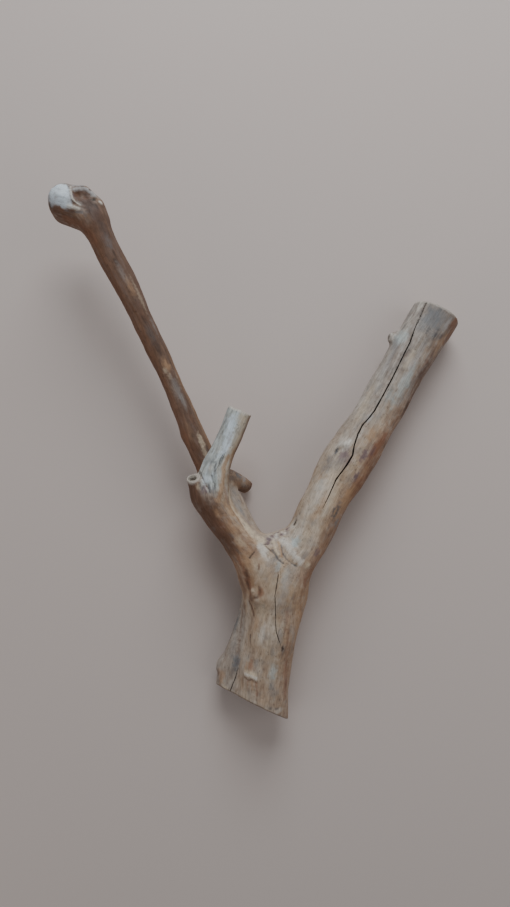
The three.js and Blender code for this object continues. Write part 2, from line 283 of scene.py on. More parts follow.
def off_path(points, path, normals=None):
    """The distance to a path of straight lengths, and the place along it from 0 to 1.

    With the points' normals, the distance is the one along the skin, and a path that runs far over or
    under the skin is left out.
    """
    path = np.asarray(path, float)
    best = np.full(len(points), FAR)
    place = np.zeros(len(points))
    for i, (a, b) in enumerate(zip(path[:-1], path[1:])):
        run = b - a
        t = np.clip((points - a) @ run / (run @ run), 0, 1)
        offset = points - a - t[:, None] * run
        squared = (offset**2).sum(1)
        if normals is None:
            d = np.sqrt(squared)
        else:
            out = (offset * normals).sum(1)
            d = np.where(np.abs(out) < OFF_SKIN, np.sqrt(np.maximum(squared - out**2, 0)), FAR)
        nearer = d < best
        best[nearer] = d[nearer]
        place[nearer] = (i + t[nearer]) / (len(path) - 1)
    return best, place


def round_max(a, b, radius):
    """The larger of two distances, with a rounded edge where they meet."""
    overlap = np.maximum(1 - np.abs(a - b) / radius, 0)
    return np.maximum(a, b) + overlap**2 * radius / 4


# The rotted pith of the hollow stub, mm.
PITH_RADIUS, PITH_DEPTH, PITH_EDGE = 4.6, 12.0, 0.8
CUT_EDGE = 1.0  # how round the edge of a flat end is, mm
CUT_DEPTH = 4.0  # how far under a flat end its edge is still looked for, mm
# Paths that are both carved and painted.
CROTCH_FLAKE_EDGE = [(-2.4, 1.5, 63.7), (1.3, -2, 65.7), (4.9, -4.7, 66.7)]
CROTCH_CREASE = [(4.1, -2.1, 65.3), (6.7, -6.4, 67.3), (10.4, -11.7, 68.7), (14.1, -14.5, 68.6)]
CROTCH_FLAKE = [(9.7, 4.6, 59.6), (11.5, -2, 64), (12.8, -8, 67)]
CROTCH_LONG_CREASE = [(12.5, 2, 61.5), (13.2, -3.1, 64.7), (15.1, -7.5, 66.4), (18.7, -11.9, 67.1),
                      (23.4, -15.7, 66.9), (27.1, -17.7, 66)]
CUT_MARK = [(-18.1, -9.1, 68.1), (-15.5, -6.2, 67.6), (-13.5, -3.7, 67.1)]
LEFT_WRINKLE = [(-65, 71, 70), (-61, 64, 73), (-58, 57, 74), (-58, 51, 73)]
RIGHT_WRINKLE = [(-55, 74, 72), (-53.5, 67, 74), (-51, 61, 74), (-51, 55, 73)]
# Creases (height below 0) and ridges (above 0) of the skin: path, half width, height.
RELIEF = [
    # the curled lip of the knuckle, and the pocket and the flaky rim that it curls round
    ([(-187, 341, 89), (-185.5, 337, 91.5), (-185.3, 331, 93), (-184, 326, 92.5), (-181.5, 323, 90.5),
      (-177.9, 321.3, 89.5)], 0.9, -1.7),
    ([(-184.5, 340, 89.5), (-183.3, 336.5, 91), (-183, 331, 92.3), (-181.7, 326.5, 91.5), (-179, 324, 90),
      (-175.5, 322.5, 89)], 1.1, 1.5),
    ([(-180.5, 332, 91), (-176.5, 331.5, 89), (-172, 330, 87.5)], 3.6, -2.4),
    ([(-181, 336.5, 89.5), (-176, 338, 87.5), (-171, 337.5, 86), (-166.5, 335.5, 84.5),
      (-163.3, 333, 83)], 2.1, 2.3),
    ([(-178, 334, 89), (-174, 332.3, 87.6), (-170.5, 330.5, 86.7), (-167, 329.4, 86), (-163.8, 328.9, 85.3),
      (-162, 331, 83.5)], 0.9, -2.2),
    ([(-179.5, 341.3, 86.5), (-177, 341.3, 86), (-174, 340.5, 85.5)], 0.9, -1.8),
    ([(-159, 327, 83), (-156.5, 325, 82)], 2.0, 1.5),
    ([(-193, 341, 90), (-190, 342, 90)], 2.4, -1.1),
    ([(-188, 320, 90.5), (-182, 319.5, 90), (-176, 318.5, 89)], 2.2, 0.9),
    ([(-189, 315.5, 87.5), (-182, 315, 88), (-174, 315.5, 88.5)], 1.4, -0.8),
    ([(-203, 318, 78), (-206, 324, 80)], 2.5, 1.2),
    ([(-192.5, 309.5, 74), (-190.5, 308.5, 74)], 1.6, 1.6),
    ([(-160, 316, 87), (-156, 306, 85)], 2.2, -0.6),
    # the fold between the front and the rear stems
    ([(-42, 62, 60), (-39.4, 49, 60), (-35.7, 39.6, 58), (-29.8, 30.3, 57), (-23.8, 20.1, 57),
      (-17.9, 13.4, 58.5), (-10, 4.5, 62)], 1.8, -2.4),
    # the ridge of old bark in the crotch, and the flakes below it
    ([(-1, 6, 59), (4, 8.5, 56), (9.5, 12.6, 52), (17.5, 15.5, 51), (24, 20, 50)], 2.4, 1.5),
    ([(0.4, 7, 58), (1.4, 7.6, 57.4)], 1.7, 1.0),
    ([(13.7, 11.5, 54), (14.5, 12, 53.6)], 1.6, 1.1),
    ([(19, 16, 51), (20, 16.6, 50.7)], 1.6, 1.0),
    ([(-9.8, 4.1, 63), (-6, 2.7, 63.2), (-0.5, 3.2, 62)], 0.9, -1.0),
    (CROTCH_FLAKE_EDGE, 0.9, -0.9),
    ([(4.6, 5.5, 59.5), (6.4, -0.5, 63.8), (9, -6, 67)], 1.4, 1.0),
    (CROTCH_CREASE, 1.0, -1.0),
    (CROTCH_FLAKE, 1.3, 0.8),
    (CROTCH_LONG_CREASE, 1.0, -1.3),
    ([(15, 6, 58.5), (19, 0.5, 62.5), (23.5, -5, 64.7), (28, -11, 65.3), (30.5, -14.5, 65)], 3.4, 1.5),
    ([(26, 7, 60.5), (28, 2, 62.5), (31, -3, 63.5)], 1.5, -0.7),
    ([(-2, -4.6, 67.5), (-0.5, -8, 69), (0.2, -11, 70)], 1.0, -0.5),
    ([(37, -15, 62), (39, -19, 62)], 2.6, 1.0),
    # wrinkles where the sawn stub and the hollow one meet
    (LEFT_WRINKLE, 1.0, -1.0),
    ([(-61, 74, 71), (-57, 66, 73.5), (-55, 58, 74)], 1.1, 0.9),
    (RIGHT_WRINKLE, 1.0, -1.1),
    ([(-50, 78, 73), (-49, 70, 73.5), (-48, 62, 73.5)], 1.2, 0.8),
    ([(-44.4, 80, 71), (-43.5, 67, 71), (-45.3, 56, 72), (-48, 46.6, 73)], 2.4, 0.7),
    # the cut mark beside the crotch, the knot of the trunk, and the chip near the butt
    (CUT_MARK, 0.9, -0.9),
    ([(-15.5, -40, 64), (-14, -43, 64.5)], 3.2, 1.5),
    ([(-9, -37, 69), (-8.5, -43.5, 68), (-10.5, -48, 66.5), (-15, -49, 63)], 1.8, -1.1),
    ([(-21, -27, 63), (-20, -36, 60.5), (-19.5, -46, 58)], 2.2, -1.1),
    ([(-18.5, -53.5, 55.5), (-16.3, -60.2, 56), (-14.5, -67.2, 57), (-16, -80, 54.5)], 2.0, -0.9),
    ([(-23, -125.5, 51.5), (-20, -127.6, 54.5), (-16, -126.4, 57.5), (-11, -129.2, 59.5)], 1.9, 1.0),
    ([(-23, -130, 51), (-19, -132, 55), (-16, -130.6, 57), (-10.5, -133.5, 58.5)], 1.9, -0.8),
    # the groove that parts the buttress from the trunk, and the lobes of the buttress's edge
    ([(-26, -66, 40), (-27, -80, 38), (-29, -100, 39), (-31, -122, 40)], 2.2, -1.5),
    ([(-53, -131, 22), (-51, -136, 24)], 3.5, -1.8),
    ([(-50, -128, 27), (-53, -133, 22)], 3.0, 1.2),
    ([(-46, -140, 33), (-44, -150, 34)], 2.6, 0.8),
    # small flakes on the left edge of the thick limb, and its healed knot
    ([(101, 158, 36), (104, 162, 36)], 1.6, 1.7),
    ([(97, 149, 38), (99, 152, 38)], 1.5, 1.1),
    ([(108, 169, 36), (110, 172, 35)], 1.3, 0.8),
    ([(71, 99, 54), (77, 101, 55.5), (80, 99, 57)], 2.4, 1.2),
    ([(64.5, 91, 52), (67.5, 93.3, 53.5), (72, 96, 55)], 1.5, -1.7),
    ([(118, 204, 38), (126, 213, 37)], 3.0, 0.8),
    # the step on the long limb
    ([(-87, 114, 43), (-85, 105, 42), (-80, 99, 42)], 1.8, -1.2),
]
# The pit in the nub's end: where it is, its radius and its depth.
NUB_PIT = ((121.5, 208.5, 33.0), 2.0, 3.5)


def off_cut(points, name):
    """How far the points are outside a flat end, and how far to the side of its middle."""
    at, faces = CUT_FACES[name][:2]
    return off_line(points, at, faces)


def near_path(points, path, reach):
    """Which points lie in the path's box with a margin round it."""
    path = np.asarray(path, float)
    return ((points > path.min(0) - reach) & (points < path.max(0) + reach)).all(1)


def carve(points, wood):
    """The wood with its creases, ridges, nub's pit, flat ends and the hole in the hollow stub."""
    for path, width, height in RELIEF:
        near = near_path(points, path, 3 * width)
        if near.any():
            d, place = off_path(points[near], path)
            ends = smooth(0, 0.2, place) * smooth(1, 0.8, place) * 0.6 + 0.4
            wood[near] -= height * ends * np.exp(-(d / width) ** 2)
    at, radius, depth = NUB_PIT
    wood = wood + depth * np.exp(-((points - at) ** 2).sum(1) / radius**2)
    for at, faces, way, reach, height, cell in CUT_FACES.values():
        beyond = (points - at) @ faces
        _, side = off_line(points, at, way)
        near = (side < reach) & (beyond > -CUT_DEPTH)
        if near.any():
            beyond[near] += height * noise(points[near] / cell, 5)
            wood[near] = round_max(wood[near], beyond[near], CUT_EDGE)
    along, side = off_cut(points, "hollow")
    width = PITH_RADIUS * (0.7 + 0.3 * np.clip(1 + along / PITH_DEPTH, 0, 1))
    pit = np.maximum(side - width, -along - PITH_DEPTH)
    return round_max(wood, -pit, PITH_EDGE)


# ------------------------ the fine skin

SKIN_MARGIN = 8.0  # room round the branch in the grid, mm
CELLS_AT_A_TIME = 2000  # coarse cells, each of which holds many fine points


def grid_points(low, counts, cell):
    axes = [low[i] + cell * np.arange(counts[i]) for i in range(3)]
    return np.stack(np.meshgrid(*axes, indexing="ij"), -1).reshape(-1, 3)


def skin():
    """Vertices in mm and quads of the whole branch."""
    low, high = limb_box([s for _, stations in LIMBS.values() for s in stations], SKIN_MARGIN)
    counts = np.ceil((high - low) / COARSE).astype(int) + 1
    rough = whole_wood(grid_points(low, counts, COARSE)).reshape(counts)
    fold = round(COARSE / CELL)
    fine = COARSE / fold
    reach = BAND * fine
    field = np.full((counts - 1) * fold + 1, reach, np.float32)
    # Each coarse cell that the skin may pass through is filled with fine points.
    corner = np.abs(rough)
    least = np.minimum.reduce([corner[i:counts[0] - 1 + i, j:counts[1] - 1 + j, k:counts[2] - 1 + k]
                               for i, j, k in np.ndindex(2, 2, 2)])
    near = least < reach + COARSE
    within = np.array(list(np.ndindex(fold, fold, fold)))[None]
    for cell in np.argwhere((rough[:-1, :-1, :-1] < 0) & ~near):
        i, j, k = cell * fold
        field[i:i + fold, j:j + fold, k:k + fold] = -reach
    cells = np.argwhere(near)
    for part in np.array_split(cells, max(1, len(cells) // CELLS_AT_A_TIME)):
        index = (part[:, None, :] * fold + within).reshape(-1, 3)
        values = whole_wood(low + index * fine)
        field[index[:, 0], index[:, 1], index[:, 2]] = np.clip(values, -reach, reach)
    grid = openvdb.FloatGrid(reach)
    grid.copyFromArray(field)
    points, quads = grid.convertToQuads(isovalue=0.0)
    return low + points * fine, quads


def first_loops(sizes):
    return np.concatenate([[0], np.cumsum(sizes)[:-1]])


def raw_mesh(name, points, loops, sizes):
    """A mesh from its points, the corners of all its faces, and the number of corners of each."""
    mesh = bpy.data.meshes.new(name)
    mesh.vertices.add(len(points))
    mesh.vertices.foreach_set("co", np.asarray(points, np.float32).ravel())
    mesh.loops.add(len(loops))
    mesh.loops.foreach_set("vertex_index", np.asarray(loops, np.int32))
    mesh.polygons.add(len(sizes))
    mesh.polygons.foreach_set("loop_start", first_loops(sizes).astype(np.int32))
    mesh.update(calc_edges=True)
    mesh.polygons.foreach_set("use_smooth", np.ones(len(sizes), bool))
    return mesh


# ------------------------ forks and cracks

# Where a limb parts from the wood behind it: limb, station, reach of the cut in mm.
FORKS = [("thick", 2.1, 42), ("front", 1.3, 40), ("stub", 2.0, 14.5), ("long", 0.8, 17.5),
         ("spur", 0.85, 13.5)]
# A point inside each piece: CAD node, limb, station.
PIECES = [("trunk", "trunk", 3), ("thick_limb", "thick", 5), ("left_limb", "front", 3),
          ("sawn_stub", "stub", 3), ("long_limb", "long", 3), ("back_spur", "spur", 1.2)]
# Drying cracks: path, half width at the middle, depth. The first is the long one of the thick limb.
CRACKS = [
    ([(172, 267, 43), (164, 256, 44), (158, 248, 45.5), (153.9, 238.6, 46), (149.7, 229.4, 47),
      (143.8, 213, 48.5), (140, 201.5, 49.3), (132.1, 185.8, 50.2), (122.8, 166.6, 51.4), (116, 154.4, 52),
      (109, 141.5, 52.8), (104, 132.6, 53.6), (98, 125, 54.5), (92.1, 118.8, 55.2), (87.5, 109.9, 56.5),
      (83.8, 98.8, 58.3), (81.9, 88.9, 59.7), (75.9, 79.1, 60.2), (70.5, 72, 60.3), (66.1, 66.1, 60.5),
      (61.5, 56, 61.2), (58.2, 48.7, 61.8), (51.5, 35.6, 62.7), (46.1, 25.7, 62.8)], 0.6, 4.5),
    ([(8.7, -18.9, 71.2), (9.4, -25.4, 71.8), (8.2, -33, 72.2), (7.3, -39, 72), (6.1, -45.4, 71),
      (6.6, -55, 68.5), (6.8, -62.3, 66.6), (6.9, -71.8, 65.1), (7.6, -81.4, 64.2), (9.6, -88.3, 63.1),
      (12.4, -97.1, 60.6), (14.4, -100.3, 59)], 0.38, 1.0),
    ([(-29.7, -121.9, 40.7), (-31.9, -131, 39), (-35, -140.2, 38.2), (-38.1, -147.8, 37.9),
      (-40, -156, 38)], 0.3, 1.3),
    ([(-40, 93, 71.5), (-42.3, 89, 72), (-43, 84.5, 72.5)], 0.25, 0.6),
    ([(-42, 92, 71.5), (-46, 86, 72.5), (-47.3, 80, 73), (-50.3, 75, 73), (-50, 68, 73.5)], 0.28, 0.7),
    ([(-73, 140, 55), (-70, 133, 53), (-67, 124, 51), (-66, 119, 50)], 0.35, 0.8),
]
NEAR_CRACK = 3.0  # how far to each side of a crack the facets are finer, mm
ON_CUT = 2e-3  # nearer than this, a point is on a fork's cut, mm


def cut_at_forks_and_refine(points, quads):
    """The skin with an edge all along each fork cut, and finer facets beside the cracks."""
    bm = bmesh.new()
    mesh = raw_mesh("skin", points, quads.ravel(), np.full(len(quads), 4))
    bm.from_mesh(mesh)
    bpy.data.meshes.remove(mesh)
    for limb, station, reach in FORKS:
        here, way = point_at(limb, station)
        here, way = Vector(here), Vector(way)
        faces = [f for f in bm.faces if (f.verts[0].co - here).length < reach + 2]
        geometry = set(faces)
        for f in faces:
            geometry.update(f.edges)
            geometry.update(f.verts)
        bmesh.ops.bisect_plane(bm, geom=list(geometry), dist=1e-4, plane_co=here, plane_no=way)
    bm.verts.ensure_lookup_table()
    where = np.array([v.co for v in bm.verts])
    close = np.zeros(len(where), bool)
    for path, _, _ in CRACKS:
        near = np.flatnonzero(near_path(where, path, NEAR_CRACK + 3))
        close[near[off_path(where[near], path)[0] < NEAR_CRACK]] = True
    edges = [e for e in bm.edges if close[e.verts[0].index] and close[e.verts[1].index]]
    bmesh.ops.subdivide_edges(bm, edges=edges, cuts=2, use_grid_fill=True)
    mesh = bpy.data.meshes.new("cut_skin")
    bm.to_mesh(mesh)
    bm.free()
    return mesh


def read(items, name, kind, width=1):
    """One property of all the vertices, loops, edges or faces of a mesh."""
    values = np.empty(len(items) * width, kind)
    items.foreach_get(name, values)
    return values.reshape(-1, width) if width > 1 else values


def arrays_of(mesh):
    """A mesh's points, the corners of its faces, their number for each face, and its edges."""
    points = read(mesh.vertices, "co", np.float32, 3).astype(float)
    loops = read(mesh.loops, "vertex_index", np.int32)
    sizes = read(mesh.polygons, "loop_total", np.int32)
    return points, loops, sizes, read(mesh.edges, "vertices", np.int32, 2)


def normals_of(mesh):
    return read(mesh.vertex_normals, "vector", np.float32, 3).astype(float)


def on_forks(points):
    on = np.zeros(len(points), bool)
    for limb, station, reach in FORKS:
        here, way = point_at(limb, station)
        offset = points - here
        on |= (np.abs(offset @ way) < ON_CUT) & ((offset**2).sum(1) < (reach + 3) ** 2)
    return on


def bodies_of(points, edges, on):
    """For each vertex off the fork cuts, the number of the body that it belongs to; others are -1."""
    free = edges[~on[edges].any(1)]
    label = np.arange(len(points))
    while True:
        least = np.minimum(label[free[:, 0]], label[free[:, 1]])
        lower = label.copy()
        for end in (0, 1):
            np.minimum.at(lower, free[:, end], least)
            np.minimum.at(lower, label[free[:, end]], least)
        lower = lower[lower]
        lower = lower[lower]
        if (lower == label).all():
            break
        label = lower
    label[on] = -1
    return label


# ------------------------ grain

SAMPLES = 8  # samples of a grain run from each point of it to the next
POINTS_AT_A_TIME = 20000  # keeps the tables of distances small
SOFT_PLACE = 50.0  # how softly a point's place passes from one sample to the next, square mm
SOFT_SHARE = 2.5  # how softly the grain passes from one run to the next, mm


def run_of(path):
    """A grain run as close samples: centre, way, two sides, length so far."""
    at = np.linspace(0, len(path) - 1, (len(path) - 1) * SAMPLES + 1)
    line = catmull(path, at)
    way = np.gradient(line, axis=0)
    way /= np.linalg.norm(way, axis=1, keepdims=True)
    side = np.cross(way, (0, 0, 1.0))
    side /= np.linalg.norm(side, axis=1, keepdims=True)
    length = np.concatenate([[0], np.cumsum(np.linalg.norm(np.diff(line, axis=0), axis=1))])
    return line, way, side, np.cross(side, way), length


def grain_places(points, run):
    """Where the points are in a run: mm to its two sides and along it, and the way it goes there."""
    line, way, side, up, length = (a.astype(np.float32) for a in run)
    places = np.empty((len(points), 3))
    ways = np.empty((len(points), 3))
    for start in range(0, len(points), POINTS_AT_A_TIME):
        some = slice(start, start + POINTS_AT_A_TIME)
        p = points[some].astype(np.float32)
        gap = (p**2).sum(1)[:, None] + (line**2).sum(1)[None] - 2 * p @ line.T
        share = np.exp(-(gap - gap.min(1, keepdims=True)) / SOFT_PLACE)
        share /= share.sum(1, keepdims=True)
        offset = p - share @ line
        sides = [(offset * (share @ axis)).sum(1) for axis in (side, up)]
        places[some] = np.stack([*sides, share @ length], 1)
        ways[some] = share @ way
    return places, ways


class Grain:
    """The wood's grain at a set of points, which the runs of limbs share where they merge."""

    def __init__(self, points):
        self.points = points
        _, own = distances(points)
        near = np.full((len(points), len(GRAINS)), FAR)
        for limb, d in own.items():
            k = GRAIN_OF_LIMB.get(limb, 0)
            near[:, k] = np.minimum(near[:, k], d)
        share = np.exp(-(near - near.min(1, keepdims=True)) / SOFT_SHARE)
        self.share = share / share.sum(1, keepdims=True)
        self.places, ways = zip(*(grain_places(points, run_of(path)) for path in GRAINS.values()))
        self.way = sum(w * self.share[:, k:k + 1] for k, w in enumerate(ways))
        self.way /= np.linalg.norm(self.way, axis=1, keepdims=True)
        self.own = own

    def noise(self, across, along, seed):
        """Noise in streaks along the grain, of a width and a length in mm."""
        total = np.zeros(len(self.points))
        for k, place in enumerate(self.places):
            part = self.share[:, k] > 0.01
            if part.any():
                streaks = noise(place[part] / (across, across, along), seed + 7 * k)
                total[part] += self.share[part, k] * streaks
        return total


# ------------------------ paint


def linear(red, green, blue):
    """A colour given in sRGB from 0 to 255, as the shader takes it."""
    c = np.array([red, green, blue]) / 255
    return np.where(c <= 0.04045, c / 12.92, ((c + 0.055) / 1.055) ** 2.4)


BEIGE = linear(184, 163, 139)
CREAM = linear(206, 190, 166)
PALE = linear(212, 207, 197)
CHALK = linear(214, 226, 234)
MIST = linear(184, 194, 192)
ASH = linear(168, 166, 165)
GREY = linear(143, 137, 132)
BLUE_GREY = linear(116, 120, 124)
SLATE = linear(84, 84, 86)
TAN = linear(174, 140, 108)
RUST = linear(142, 99, 74)
BROWN = linear(108, 78, 61)
UMBER = linear(86, 70, 63)
DARK = linear(64, 50, 42)
PURPLE = linear(112, 92, 98)
# the near-black of painted shade in the cracks and in the knuckle's pocket
CRACK_SHADE = linear(20, 16, 14)

